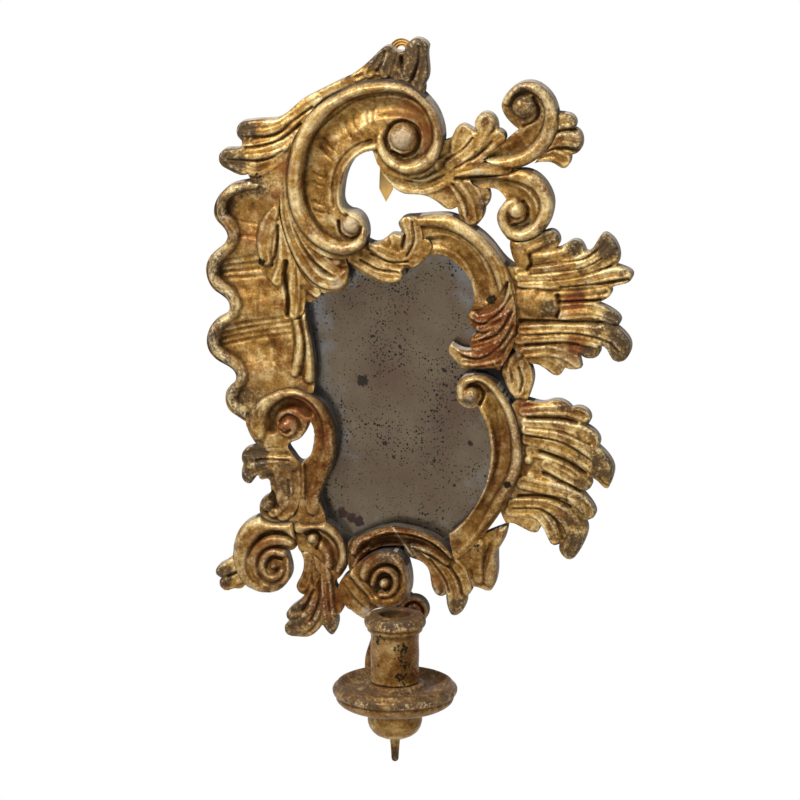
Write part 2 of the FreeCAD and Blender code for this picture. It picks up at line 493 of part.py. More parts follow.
# The board, the looking-glass and what holds it
opening = [flat(place(point, EDGE_DEPTH)) for point in SIGHT_OPENING]
rebate_edge = pushed_out(opening, size("rebate_width") + size("glass_clearance"))
glass_edge = pushed_out(opening, size("rebate_width"))
glass_front = GROUND - size("ground_lip")
glass_back = glass_front - size("glass_thickness")
board_back = glass_back - size("backboard_thickness")
ground = slab(face_of(GROUND_OUTER, EDGE_DEPTH), 0, GROUND)
ground = ground.cut(slab(polygon_face(opening), 0, GROUND))
ground = ground.cut(slab(polygon_face(rebate_edge), 0, glass_front))
glass = slab(polygon_face(glass_edge), glass_back, glass_front)
backboard = slab(polygon_face(glass_edge), board_back, glass_back)

sprig_radius = size("sprig_diameter") / 2
sprigs = []
for share in SPRIG_SHARES:
    index = int(share * len(opening))
    here = opening[index]
    outward = (rebate_edge[index] - here).normalize()
    level = Vector(0, sprig_radius - board_back, 0)
    start = rebate_edge[index] - outward * (size("sprig_length") / 2) + level
    sprigs.append(rod(start, start + outward * size("sprig_length"), size("sprig_diameter")))
ground = ground.cut(sprigs)

# The candle axis: the nozzle's mouth in the photograph gives its place
projection = size("arm_projection")
mouth = place(NOZZLE_MOUTH_PX, projection)
pan_top = mouth.z - size("nozzle_height") - size("stack_clearance")
knop_top = pan_top - size("pan_height") - size("stack_clearance")
knop_bottom = knop_top - size("knop_height")


# Turned pieces: a profile of radius and height, each bound to the sheet, turned about the candle axis
def bound(text):
    """An expression in the sheet's names, written for another object."""
    return re.sub(r"[a-z][a-z_]+", lambda name: "Dimensions." + name.group(), text)


def turned(label, profile, foot):
    """A turned body whose profile points are pairs of expressions, standing at a height."""
    body = doc.addObject("PartDesign::Body", label)
    body.Label = label
    sketch = body.newObject("Sketcher::SketchObject", label + "_profile")
    plane = [item for item in body.Origin.OriginFeatures if item.Role == "XZ_Plane"][0]
    sketch.AttachmentSupport = [(plane, "")]
    sketch.MapMode = "FlatFace"
    values = [[float(sheet.evalExpression(text)) for text in pair] for pair in profile]
    corners = [Vector(radius, height, 0) for radius, height in values]
    for start, end in zip(corners, corners[1:] + corners[:1]):
        sketch.addGeometry(Part.LineSegment(start, end))
    for line in range(len(corners)):
        sketch.addConstraint(Sketcher.Constraint("Coincident", line, 2, (line + 1) % len(corners), 1))
    for line, (pair, value) in enumerate(zip(profile, values)):
        for kind, text, number in zip(("DistanceX", "DistanceY"), pair, value):
            index = sketch.addConstraint(Sketcher.Constraint(kind, -1, 1, line, 1, number))
            sketch.setExpression(f"Constraints[{index}]", bound(text))
    turning = body.newObject("PartDesign::Revolution", label + "_turning")
    turning.Profile = sketch
    turning.ReferenceAxis = (sketch, ["V_Axis"])
    body.Placement = Placement(Vector(mouth.x, -projection, foot), Rotation())
    return body


tight_hole = "pin_diameter / 2"
running_hole = "pin_diameter / 2 + pin_clearance"
head_hole = "pin_head_diameter / 2 + stack_clearance"
socket_floor = "nozzle_height - socket_depth"
recess_floor = f"{socket_floor} - pin_head_height - 2 * stack_clearance"
dish_floor = f"pan_height * {PAN_RIM_SHARE} - pan_dish_depth"
knop_profile = [(f"knop_diameter * {radius}", f"knop_height * {height}") for radius, height in KNOP_SHARES]
knop_profile = [(tight_hole, "0")] + knop_profile + [(tight_hole, "knop_height")]
pan_profile = [(running_hole, "0"), (f"knop_diameter * {KNOP_SHARES[-1][0]}", "0")]
pan_profile += [(f"pan_diameter * {radius}", f"pan_height * {height}") for radius, height in PAN_UNDER_SHARES]
pan_profile += [("pan_diameter / 2 - pan_rim_width", f"pan_height * {PAN_RIM_SHARE}")]
pan_profile += [(f"pan_diameter * {radius}", f"{dish_floor} + pan_dish_depth * {height}")
                for radius, height in PAN_DISH_SHARES]
pan_profile += [(f"nozzle_diameter * {PAN_BOSS_SHARE}", f"pan_height * {PAN_RIM_SHARE}"),
                (f"nozzle_diameter * {PAN_BOSS_SHARE}", "pan_height"), (running_hole, "pan_height")]
nozzle_profile = [(running_hole, "0"), ("nozzle_diameter / 2", "0"),
                  (f"nozzle_diameter * {NOZZLE_NECK_SHARE}", "nozzle_height - nozzle_ring_height")]
nozzle_profile += [(f"nozzle_ring_diameter * {radius}", f"nozzle_height - nozzle_ring_height * {height}")
                   for radius, height in NOZZLE_RING_SHARES]
nozzle_profile += [(f"nozzle_ring_diameter * {NOZZLE_LIP_SHARE}", "nozzle_height"),
                   ("socket_diameter / 2", "nozzle_height"), ("socket_diameter / 2", socket_floor),
                   (head_hole, socket_floor), (head_hole, recess_floor), (running_hole, recess_floor)]
knop = turned("bottom_knop", knop_profile, knop_bottom)
pan = turned("drip_pan", pan_profile, knop_top + size("stack_clearance"))
nozzle = turned("candle_nozzle", nozzle_profile, mouth.z - size("nozzle_height"))


def primitive(kind, label, sizes, corner=Vector(), turn=Rotation()):
    """A box, cylinder or cone whose sizes are expressions in the sheet's names."""
    item = doc.addObject("Part::" + kind, label)
    for name, text in sizes.items():
        item.setExpression(name, bound(text))
    item.Placement = Placement(corner, turn)
    return item


def united(label, items, corner=Vector()):
    """Several solids made into one."""
    whole = doc.addObject("Part::MultiFuse", label)
    whole.Label = label
    whole.Shapes = items
    whole.Refine = False
    whole.Placement = Placement(corner, Rotation())
    return whole


# The iron pin through knop, pan and nozzle, its head let in below the socket
shank_length = f"knop_height + pan_height + {recess_floor} + 3 * stack_clearance"
shank = primitive("Cylinder", "pin_shank", {"Radius": "pin_diameter / 2", "Height": shank_length})
head = primitive("Cylinder", "pin_head", {"Radius": "pin_head_diameter / 2", "Height": "pin_head_height"})
head.setExpression("Placement.Base.z", "pin_shank.Height")
end = primitive("Cone", "pin_end", {"Radius1": "pin_tip_diameter / 2", "Radius2": "pin_end_diameter / 2",
                                    "Height": "pin_end_length"})
end.setExpression("Placement.Base.z", "-pin_end.Height")
pin = united("candle_pin", [shank, head, end], Vector(mouth.x, -projection, knop_bottom))
doc.recompute()

# The carved arm: a bent round limb from the root block to the knop, with a curl at the root
root_top = max(place(point, EDGE_DEPTH).z for point in TONGUE_CORNERS)
ground_box = ground.BoundBox
below_tongue = Vector(ground_box.XMin, -GROUND, root_top - ground_box.ZLength)
ground = ground.cut(Part.makeBox(ground_box.XLength, GROUND, ground_box.ZLength, below_tongue))
root_middle = place(ARM_ROOT_PX, EDGE_DEPTH).x
root_width, root_depth, root_height = (size("arm_root_" + side) for side in ("width", "depth", "height"))
root_back = -size("strap_thickness")
root_corner = Vector(root_middle - root_width / 2, root_back - root_depth, root_top - root_height)
root_block = Part.makeBox(root_width, root_depth, root_height, root_corner)
line = [Vector(root_middle, root_back - root_depth / 2, root_top - root_height / 2)]
line += [place((x, y), share * projection) for x, y, share in ARM_LINE]
below_pan = knop_top - ARM_BELOW_PAN_SHARE * size("knop_height")
line += [Vector(mouth.x, -share * projection, below_pan) for share in ARM_REACH_SHARES]
middle_line = Part.BSplineCurve()
middle_line.interpolate(line)
rings = []
for point, share in zip((line[0], line[-1]), ARM_END_SHARES):
    heading = middle_line.tangent(middle_line.parameter(point))[0]
    rings.append(Part.Wire(Part.makeCircle(share * size("arm_diameter") / 2, point, heading)))
limb = Part.Wire(middle_line.toShape()).makePipeShell(rings, True, True)
curl_middle = place(ARM_VOLUTE_PX, ARM_VOLUTE_DEPTH_SHARE * projection)
curl_back = Vector(curl_middle.x, root_back, curl_middle.z)
curl = Part.makeCylinder(size("arm_volute_diameter") / 2, root_depth, curl_back, Vector(0, -1, 0))
apron = carved["apron_scroll"].translated(Vector(0, -GROUND, 0))
arm = root_block.fuse([limb, curl]).cut([knop.Shape, apron]).removeSplitter()
arm = max(arm.Solids, key=lambda solid: solid.Volume)

# The iron strap across board and arm, let in flush, and its nails
INTO_WOOD = Rotation(Vector(1, 0, 0), 90)
SIDEWAYS = Rotation(Vector(0, 1, 0), 90)
strap_foot = root_top - size("strap_length") / 2
strap_corner = Vector(root_middle - size("strap_width") / 2, -size("strap_thickness"), strap_foot)
strap_bar = primitive("Box", "strap_bar", {"Length": "strap_width", "Width": "strap_thickness",
                                           "Height": "strap_length"}, strap_corner)
nail_sizes = {"Radius": "strap_nail_diameter / 2", "Height": "strap_nail_length"}
strap_nails = doc.addObject("Part::Compound", "strap_nails")
strap_nails.Label = "strap_nails"
strap_nails.Links = [primitive("Cylinder", f"strap_nail_{number}", nail_sizes,
                               Vector(root_middle, 0, strap_foot + share * size("strap_length")), INTO_WOOD)
                     for number, share in enumerate(STRAP_NAIL_SHARES)]
strap = doc.addObject("Part::Cut", "arm_strap")
strap.Label = "arm_strap"
strap.Base = strap_bar
strap.Tool = strap_nails
doc.recompute()
ground = ground.cut([strap_bar.Shape] + strap_nails.Shape.Solids)
arm = arm.cut(strap_nails.Shape.Solids)

# The staple behind the crest and the ribbon through it
ribbon_front = RIBBON_DEPTH + size("ribbon_thickness") / 2
ribbon_back = RIBBON_DEPTH - size("ribbon_thickness") / 2
ribbon_face = face_of(RIBBON_LOOP + [[RIBBON_LOOP[0][-1], RIBBON_LOOP[0][0]]], RIBBON_DEPTH)
ribbon_face = ribbon_face.cut(face_of(RIBBON_EYE, RIBBON_DEPTH))
tail_face = face_of(RIBBON_TAIL + [[RIBBON_LOOP[0][-1], RIBBON_LOOP[0][0]]], RIBBON_DEPTH)
ribbon = slab(ribbon_face, ribbon_back, ribbon_front)
ribbon = ribbon.fuse(slab(tail_face, ribbon_back, ribbon_front)).removeSplitter()
staple_middle = flat(place(STAPLE_PX, RIBBON_DEPTH)) + Vector(0, size("staple_wire") / 2 - ribbon_back, 0)
to_leg = Vector(size("staple_span") / 2, 0, 0)
past_leg = to_leg + Vector(size("staple_wire") / 2, 0, 0)
wire = "staple_wire / 2"
leg_sizes = {"Radius": wire, "Height": "staple_leg"}
staple = united("ribbon_staple", [
    primitive("Cylinder", "staple_bar", {"Radius": wire, "Height": "staple_span + staple_wire"},
              staple_middle - past_leg, SIDEWAYS),
    primitive("Cylinder", "staple_left", leg_sizes, staple_middle - to_leg, INTO_WOOD),
    primitive("Cylinder", "staple_right", leg_sizes, staple_middle + to_leg, INTO_WOOD)])
doc.recompute()

# Every piece under its own name
for label, shape in carved.items():
    if label in ("crest_leaf", "crest_scroll"):
        shape = shape.cut(staple.Shape.translated(Vector(0, GROUND, 0)))
    pieces.append(add(label, shape, Vector(0, -GROUND, 0)))
for label, shape in [("ground_board", ground), ("mirror_plate", glass), ("backboard", backboard),
                     ("backboard_sprigs", Part.makeCompound(sprigs)), ("candle_arm", arm),
                     ("hanging_ribbon", ribbon)]:
    pieces.append(add(label, shape))
pieces += [strap, strap_nails, staple, knop, pan, nozzle, pin]
doc.recompute()

for item in doc.Objects:
    if "Invalid" in item.State or "Error" in item.State:
        raise RuntimeError(f"{item.Label} did not build")
os.makedirs("parts", exist_ok=True)
for piece in pieces:
    if piece.Shape.isNull() or not piece.Shape.isValid():
        raise RuntimeError(f"{piece.Label} has no valid shape")
    piece.Shape.exportStep(f"parts/{piece.Label}.step")
    print(piece.Label, len(piece.Shape.Solids), round(piece.Shape.Volume))
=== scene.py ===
import logging
import math
from dataclasses import dataclass, field
from enum import Enum
from functools import lru_cache, partial
from typing import Any, Sequence

import bpy
import numpy as np
from mathutils import Matrix, Vector
from mathutils.geometry import delaunay_2d_cdt


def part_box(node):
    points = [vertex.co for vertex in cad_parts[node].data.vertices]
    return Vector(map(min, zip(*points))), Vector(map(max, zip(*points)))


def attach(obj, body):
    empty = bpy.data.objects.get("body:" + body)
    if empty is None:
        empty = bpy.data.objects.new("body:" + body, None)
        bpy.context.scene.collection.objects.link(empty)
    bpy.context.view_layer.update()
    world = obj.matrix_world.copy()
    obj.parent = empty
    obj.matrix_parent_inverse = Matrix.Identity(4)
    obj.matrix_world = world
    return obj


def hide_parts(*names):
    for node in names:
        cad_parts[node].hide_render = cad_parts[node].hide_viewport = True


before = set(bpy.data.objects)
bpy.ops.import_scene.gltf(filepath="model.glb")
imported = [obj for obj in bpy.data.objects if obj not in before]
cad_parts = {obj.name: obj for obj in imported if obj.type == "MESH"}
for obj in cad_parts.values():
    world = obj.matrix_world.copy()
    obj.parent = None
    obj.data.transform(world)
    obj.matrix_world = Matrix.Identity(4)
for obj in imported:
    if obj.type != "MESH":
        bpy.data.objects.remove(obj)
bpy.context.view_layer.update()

LOG = logging.getLogger("giltwood_mirror")
MM = 0.001
TOUCH_MM = 0.01
SHORTEST_LOOP_MM = 16.0
BOARD_MM = 14.0
Pixel = tuple[float, float]

# The photograph's view


@dataclass(frozen=True)
class PhotoView:
    """Where the photograph's camera stands, and how its pixels lie on planes parallel to the wall."""

    frame_width_mm: float = 322.0
    frame_width_px: float = 427.0
    length_px: float = 5333.0
    image_px: float = 800.0
    azimuth_deg: float = 10.0
    elevation_deg: float = 14.0
    nail_px: Pixel = (402, 46)
    edge_depth_mm: float = 21.0
    ribbon_depth_mm: float = 8.4

    @property
    def mm_per_px(self) -> float:
        """Size of a pixel at the carving's edge, in mm."""
        return self.frame_width_mm / self.frame_width_px

    def axes(self) -> tuple[np.ndarray, np.ndarray, np.ndarray]:
        """The view's directions.

        Returns:
            Unit vectors towards the camera, to its right and upward.
        """
        turn, rise = math.radians(self.azimuth_deg), math.radians(self.elevation_deg)
        backward = np.array([math.sin(turn) * math.cos(rise), -math.cos(turn) * math.cos(rise), math.sin(rise)])
        rightward = np.array([math.cos(turn), math.sin(turn), 0.0])
        return backward, rightward, np.cross(backward, rightward)

    def from_middle(self, points: np.ndarray, depths: np.ndarray) -> np.ndarray:
        """Pixels laid back onto planes at given distances from the wall.

        Args:
            points: Pixel places, one row each.
            depths: Distance from the wall of each point, in mm.
        Returns:
            Places from the view's middle, in mm.
        """
        backward, rightward, upward = self.axes()
        aside = (points[:, :1] - self.image_px / 2) / self.length_px
        above = (self.image_px / 2 - points[:, 1:]) / self.length_px
        rays = aside * rightward + above * upward - backward
        eye = backward * self.length_px * self.mm_per_px
        reach = (self.edge_depth_mm - depths - eye[1]) / rays[:, 1]
        return eye + rays * reach[:, None]

    def nail(self) -> np.ndarray:
        """The nail's place from the view's middle, in mm."""
        return self.from_middle(np.array([self.nail_px], float), np.array([self.ribbon_depth_mm]))[0]

    def place(self, points: Sequence[Pixel], depths: float | Sequence[float]) -> np.ndarray:
        """Pixels in the part's frame.

        Args:
            points: Pixel places.
            depths: Distance from the wall in mm, one for all or one each.
        Returns:
            Rows of x and z in mm.
        """
        rows = np.array(points, float)
        seen = self.from_middle(rows, np.broadcast_to(np.asarray(depths, float), len(rows)))
        return (seen - self.nail())[:, [0, 2]]

    def add_camera(self) -> bpy.types.Object:
        """The camera at the photograph's place.

        Returns:
            The scene's camera object.
        """
        backward, rightward, upward = self.axes()
        nail = self.nail()
        middle = np.array([-nail[0], -self.edge_depth_mm, -nail[2]])
        eye = middle + backward * self.length_px * self.mm_per_px
        lens = bpy.data.cameras.new("photo_camera")
        lens.sensor_width = 36.0
        lens.lens = lens.sensor_width * self.length_px / self.image_px
        lens.clip_end = 50.0
        camera = bpy.data.objects.new("photo_camera", lens)
        columns = np.column_stack([rightward, upward, backward])
        camera.matrix_world = Matrix.Translation(Vector(eye * MM)) @ Matrix(columns.tolist()).to_4x4()
        bpy.context.scene.collection.objects.link(camera)
        bpy.context.scene.camera = camera
        return camera


VIEW = PhotoView()

# Shader helpers


def linear(colour: str) -> tuple[float, float, float, float]:
    """A written sRGB colour as the linear one that shaders use.

    Args:
        colour: Six hex digits with a leading hash.
    Returns:
        Linear red, green, blue and a full alpha.
    """
    parts = [int(colour[place:place + 2], 16) / 255 for place in (1, 3, 5)]
    red, green, blue = (part / 12.92 if part <= 0.04045 else ((part + 0.055) / 1.055) ** 2.4 for part in parts)
    return red, green, blue, 1.0


def wire(tree: bpy.types.NodeTree, node: bpy.types.Node, links: dict[Any, Any]) -> None:
    """Feed a node's inputs.

    Args:
        tree: The node tree.
        node: The node.
        links: Sockets that feed inputs, by name or place.
    """
    for key, socket in links.items():
        tree.links.new(socket, node.inputs[key])


def put(tree: bpy.types.NodeTree, kind: str, values: dict[Any, Any],
        links: dict[Any, Any] | None = None) -> bpy.types.Node:
    """Add a shader node with its settings and links.

    Args:
        tree: The node tree.
        kind: The node's type name.
        values: Node settings by name, and constant inputs by name or place.
        links: Sockets that feed inputs, by name or place.
    Returns:
        The new node.
    """
    made = tree.nodes.new(kind)
    for key, value in values.items():
        if isinstance(key, str) and hasattr(made, key):
            setattr(made, key, value)
        else:
            made.inputs[key].default_value = value
    wire(tree, made, links or {})
    return made


def ramp(tree: bpy.types.NodeTree, socket: Any, stops: Sequence[tuple[float, str]]) -> Any:
    """A colour ramp.

    Args:
        tree: The node tree.
        socket: What runs along the ramp.
        stops: Places and colours.
    Returns:
        The ramp's colour socket.
    """
    made = put(tree, "ShaderNodeValToRGB", {}, {"Fac": socket})
    bar = made.color_ramp.elements
    while len(bar) < len(stops):
        bar.new(0.5)
    for spot, (place, colour) in zip(bar, stops):
        spot.position = place
        spot.color = linear(colour)
    return made.outputs["Color"]


def mixed(tree: bpy.types.NodeTree, share: Any, under: Any, over: Any, way: str = "MIX") -> Any:
    """One colour laid over another.

    Args:
        tree: The node tree.
        share: Socket with how much of the upper colour shows.
        under: Lower colour, a socket or a written colour.
        over: Upper colour, a socket or a written colour.
        way: How they blend.
    Returns:
        The mixed colour socket.
    """
    made = put(tree, "ShaderNodeMix", {"data_type": "RGBA", "blend_type": way}, {0: share})
    for place, colour in ((6, under), (7, over)):
        if isinstance(colour, str):
            made.inputs[place].default_value = linear(colour)
        else:
            tree.links.new(colour, made.inputs[place])
    return made.outputs[2]


def spread(tree: bpy.types.NodeTree, socket: Any, low: float, high: float, to: tuple[float, float] = (0.0, 1.0)) -> Any:
    """A value stretched from one range to another and held inside it.

    Args:
        tree: The node tree.
        socket: The value.
        low: Value that becomes the first end.
        high: Value that becomes the second end.
        to: The two ends.
    Returns:
        The stretched value socket.
    """
    values = {"clamp": True, "From Min": low, "From Max": high, "To Min": to[0], "To Max": to[1]}
    return put(tree, "ShaderNodeMapRange", values, {"Value": socket}).outputs["Result"]


def combined(tree: bpy.types.NodeTree, work: str, first: Any, second: Any) -> Any:
    """Two values put together.

    Args:
        tree: The node tree.
        work: Name of the sum, such as ADD or MULTIPLY.
        first: Socket or number.
        second: Socket or number.
    Returns:
        The resulting value socket.
    """
    made = put(tree, "ShaderNodeMath", {"operation": work})
    for place, value in enumerate((first, second)):
        if isinstance(value, (int, float)):
            made.inputs[place].default_value = value
        else:
            tree.links.new(value, made.inputs[place])
    return made.outputs[0]


def weighed(tree: bpy.types.NodeTree, *parts: tuple[Any, float]) -> Any:
    """Values added up by weight.

    Args:
        tree: The node tree.
        *parts: Sockets with their weights.
    Returns:
        The sum's socket.
    """
    total, *others = [combined(tree, "MULTIPLY", value, weight) for value, weight in parts]
    for other in others:
        total = combined(tree, "ADD", total, other)
    return total


def noise(tree: bpy.types.NodeTree, size_mm: float, detail: float, roughness: float = 0.6) -> Any:
    """Cloudy noise of a real size in the part's frame.

    Args:
        tree: The node tree.
        size_mm: Size of its patches.
        detail: How many finer layers it has.
        roughness: How strong these are.
    Returns:
        The noise's value socket.
    """
    place = put(tree, "ShaderNodeTexCoord", {}).outputs["Object"]
    values = {"Scale": 1 / (size_mm * MM), "Detail": detail, "Roughness": roughness}
    return put(tree, "ShaderNodeTexNoise", values, {"Vector": place}).outputs["Fac"]


def mark(tree: bpy.types.NodeTree, name: str) -> Any:
    """A value stored on the mesh.

    Args:
        tree: The node tree.
        name: The attribute's name.
    Returns:
        Its value socket.
    """
    return put(tree, "ShaderNodeAttribute", {"attribute_name": name}).outputs["Fac"]


def bumped(tree: bpy.types.NodeTree, height: Any, strength: float, depth_mm: float) -> Any:
    """A bumped normal.

    Args:
        tree: The node tree.
        height: Height socket.
        strength: How much of it is used.
        depth_mm: Real depth of the bumps.
    Returns:
        The normal socket.
    """
    values = {"Strength": strength, "Distance": depth_mm * MM}
    return put(tree, "ShaderNodeBump", values, {"Height": height}).outputs["Normal"]


def surface(name: str, constants: dict[str, Any]) -> tuple[bpy.types.Material, bpy.types.NodeTree, bpy.types.Node]:
    """A new material with one principled shader.

    Args:
        name: The material's name.
        constants: Shader inputs that are the same all over.
    Returns:
        The material, its node tree and its shader node.
    """
    made = bpy.data.materials.new(name)
    made.use_nodes = True
    tree = made.node_tree
    shader = tree.nodes["Principled BSDF"]
    for key, value in constants.items():
        shader.inputs[key].default_value = value
    return made, tree, shader


# Finishes


@dataclass(frozen=True)
class WaterGilding:
    """Burnished gold leaf over red clay, rubbed on the crests, dark with old grime in the fine hollows and with painted
    shade in the wide recesses, and browned with varnish and with painted shade where parts lie in shadow.
    """

    name: str = "water_gilding_burnished_over_red_clay"
    bright: str = "#E0C78E"
    middle: str = "#A67E40"
    deep: str = "#623E16"
    glaze_and_shade: str = "#8A5A2C"
    dirt_and_shade: str = "#2E1C0E"
    clay: str = "#7A3A20"
    worn: str = "#47392B"
    gesso: str = "#B8A58A"
    chip: str = "#D8CCB2"
    lost: str = "#120D09"

    def build(self) -> bpy.types.Material:
        """The material.

        Returns:
            The finished material.
        """
        made, tree, shader = surface(self.name, {"Specular IOR Level": 0.22, "Specular Tint": linear(self.bright)})
        cloud, patch = noise(tree, 24.0, 5.0), noise(tree, 7.0, 5.0, 0.65)
        speck, grain = noise(tree, 2.2, 6.0, 0.7), noise(tree, 0.8, 3.0)
        # the hollow mark holds grime in fine crevices and painted shade in wide recesses
        sunk, crest = mark(tree, "hollow"), mark(tree, "crest")
        # leaf of uneven thickness: bright where it lies whole, deep brown-gold where it has thinned
        shade = weighed(tree, (patch, 0.38), (speck, 0.22), (cloud, 0.4), (crest, 0.08))
        colour = ramp(tree, shade, [(0.37, self.deep), (0.5, self.middle), (0.64, self.bright)])
        # brown varnish that has run together in the lower and inner parts, and painted shade on parts that lie in
        # shadow, such as the candle arm and the bottom arch
        brown = combined(tree, "MULTIPLY", mark(tree, "glaze_and_shade"), spread(tree, patch, 0.3, 0.65, (1.0, 0.75)))
        brown = combined(tree, "MAXIMUM", brown, spread(tree, noise(tree, 15.0, 4.0), 0.49, 0.64, (0.0, 0.75)))
        colour = mixed(tree, brown, colour, self.glaze_and_shade, "MULTIPLY")
        # rubbed crests let the red clay show in specks
        rub = combined(tree, "ADD", spread(tree, speck, 0.54, 0.7), combined(tree, "MULTIPLY", crest, 0.35))
        clay = combined(tree, "MULTIPLY", spread(tree, rub, 0.6, 1.2, (0.0, 0.7)), spread(tree, cloud, 0.44, 0.6))
        bared = combined(tree, "MULTIPLY", mark(tree, "clay"), spread(tree, speck, 0.34, 0.6, (0.35, 0.9)))
        colour = mixed(tree, combined(tree, "MAXIMUM", clay, bared), colour, self.clay)
        # leaf tips worn down to grey-brown size and wood, with crumbs of gold left
        worn = combined(tree, "ADD", mark(tree, "worn"), spread(tree, patch, 0.3, 0.7, (0.25, -0.45)))
        worn = combined(tree, "ADD", worn, spread(tree, speck, 0.3, 0.7, (0.25, -0.4)))
        worn = spread(tree, worn, 0.25, 0.8, (0.0, 0.92))
        colour = mixed(tree, worn, colour, self.worn)
        bare = combined(tree, "ADD", mark(tree, "bare"), spread(tree, speck, 0.3, 0.7, (-0.35, 0.35)))
        bare = spread(tree, bare, 0.3, 0.75, (0.0, 0.85))
        colour = mixed(tree, bare, colour, self.gesso)
        # small chips on the crests show pale gesso
        chip = combined(tree, "ADD", speck, combined(tree, "MULTIPLY", crest, 0.1))
        chip = combined(tree, "MULTIPLY", spread(tree, chip, 0.62, 0.7), spread(tree, cloud, 0.42, 0.6, (0.1, 0.75)))
        colour = mixed(tree, chip, colour, self.chip)
        # grime in the fine hollows, painted shade in the wide recesses, and small dark flecks of grime
        fleck = combined(tree, "MULTIPLY", spread(tree, speck, 0.4, 0.3), spread(tree, cloud, 0.4, 0.6, (0.3, 0.9)))
        dirt_and_shade = combined(tree, "MULTIPLY", sunk, spread(tree, speck, 0.25, 0.7, (1.1, 0.6)))
        dirt_and_shade = spread(tree, combined(tree, "ADD", dirt_and_shade, fleck), 0.06, 1.0, (0.0, 0.94))
        colour = mixed(tree, dirt_and_shade, colour, self.dirt_and_shade)
        gone = combined(tree, "ADD", mark(tree, "lost"), spread(tree, patch, 0.3, 0.7, (-0.45, 0.45)))
        gone = combined(tree, "ADD", gone, spread(tree, speck, 0.25, 0.75, (-0.5, 0.5)))
        gone = spread(tree, gone, 0.62, 0.74)
        colour = mixed(tree, gone, colour, self.lost)
        dull = combined(tree, "MAXIMUM", combined(tree, "MAXIMUM", worn, bare), combined(tree, "MAXIMUM", dirt_and_shade, gone))
        metal = spread(tree, dull, 0.0, 0.7, (0.3, 0.0))
        rough = combined(tree, "ADD", spread(tree, dull, 0.0, 1.0, (0.25, 0.52)),
                         spread(tree, speck, 0.3, 0.7, (-0.08, 0.14)))
        normal = bumped(tree, weighed(tree, (speck, 0.75), (grain, 0.25)), 0.7, 0.7)
        wire(tree, shader, {"Base Color": colour, "Metallic": metal, "Roughness": rough, "Normal": normal})
        return made


@dataclass(frozen=True)
class ScrapedGesso:
    """Sides of the carving: thin grey gesso with brush drips, black with grime at joints and with painted shadow beside
    the glass.
    """

    name: str = "gesso_brushed_thin_soiled_and_shaded"
    pale: str = "#BDB3A6"
    stain: str = "#8C8072"
    soil_and_shade: str = "#1B110A"

    def build(self) -> bpy.types.Material:
        """The material.

        Returns:
            The finished material.
        """
        made, tree, shader = surface(self.name, {"Roughness": 0.85, "Specular IOR Level": 0.2})
        patch, speck = noise(tree, 9.0, 5.0), noise(tree, 1.6, 4.0)
        shade = weighed(tree, (patch, 0.6), (speck, 0.4))
        colour = ramp(tree, shade, [(0.38, self.stain), (0.6, self.pale)])
        # black: grime where blocks meet, and painted shadow in the gap beside the glass
        soil_and_shade = combined(tree, "MULTIPLY", mark(tree, "joint_grime_and_shade"), spread(tree, patch, 0.25, 0.7, (1.0, 0.8)))
        colour = mixed(tree, soil_and_shade, colour, self.soil_and_shade)
        wire(tree, shader, {"Base Color": colour, "Normal": bumped(tree, speck, 0.4, 0.3)})
        return made


@dataclass(frozen=True)
class PlainWood:
    """Wood with straight grain, planed and bare: soft streaks, dry and matt, and a front that can be painted black as
    shade.
    """

    name: str
    pale: str
    dark: str
    grain_mm: float = 1.6
    roughness: float = 0.8
    soil_and_shade: str = "#140E0A"
    front_shade_mm: tuple[float, float] | None = None

    def build(self) -> bpy.types.Material:
        """The material.

        Returns:
            The finished material.
        """
        made, tree, shader = surface(self.name, {"Roughness": self.roughness})
        place = put(tree, "ShaderNodeTexCoord", {}).outputs["Object"]
        stretched = put(tree, "ShaderNodeMapping", {"Scale": (1.0, 1.0, 0.07)}, {"Vector": place}).outputs[0]
        values = {"Scale": 1 / (self.grain_mm * MM), "Detail": 4.0, "Distortion": 0.6}
        streak = put(tree, "ShaderNodeTexNoise", values, {"Vector": stretched}).outputs["Fac"]
        stain = noise(tree, 35.0, 4.0)
        shade = weighed(tree, (streak, 0.55), (stain, 0.45))
        colour = ramp(tree, shade, [(0.36, self.dark), (0.62, self.pale)])
        # the front, seen only in the gap beside the glass, is painted black as shade over a band of depth
        if self.front_shade_mm:
            depth = put(tree, "ShaderNodeSeparateXYZ", {}, {0: place}).outputs["Y"]
            darkened_share = spread(tree, depth, -self.front_shade_mm[0] * MM, -self.front_shade_mm[1] * MM)
            colour = mixed(tree, darkened_share, colour, self.soil_and_shade)
        wire(tree, shader, {"Base Color": colour, "Normal": bumped(tree, streak, 0.35, 0.3)})
        return made


@dataclass(frozen=True)
class HammeredIron:
    """Wrought iron, hammered and blackened: low lumps, a dull shine and brown rust in patches."""

    name: str = "wrought_iron_hammered_dark"
    iron: str = "#3A322C"
    rust: str = "#5A3A26"

    def build(self) -> bpy.types.Material:
        """The material.

        Returns:
            The finished material.
        """
        made, tree, shader = surface(self.name, {"Metallic": 0.5})
        lump, patch = noise(tree, 3.0, 3.0), noise(tree, 7.0, 5.0)
        colour = mixed(tree, spread(tree, patch, 0.45, 0.62), self.iron, self.rust)
        rough = spread(tree, patch, 0.4, 0.65, (0.45, 0.75))
        wire(tree, shader, {"Base Color": colour, "Roughness": rough, "Normal": bumped(tree, lump, 0.6, 0.5)})
        return made


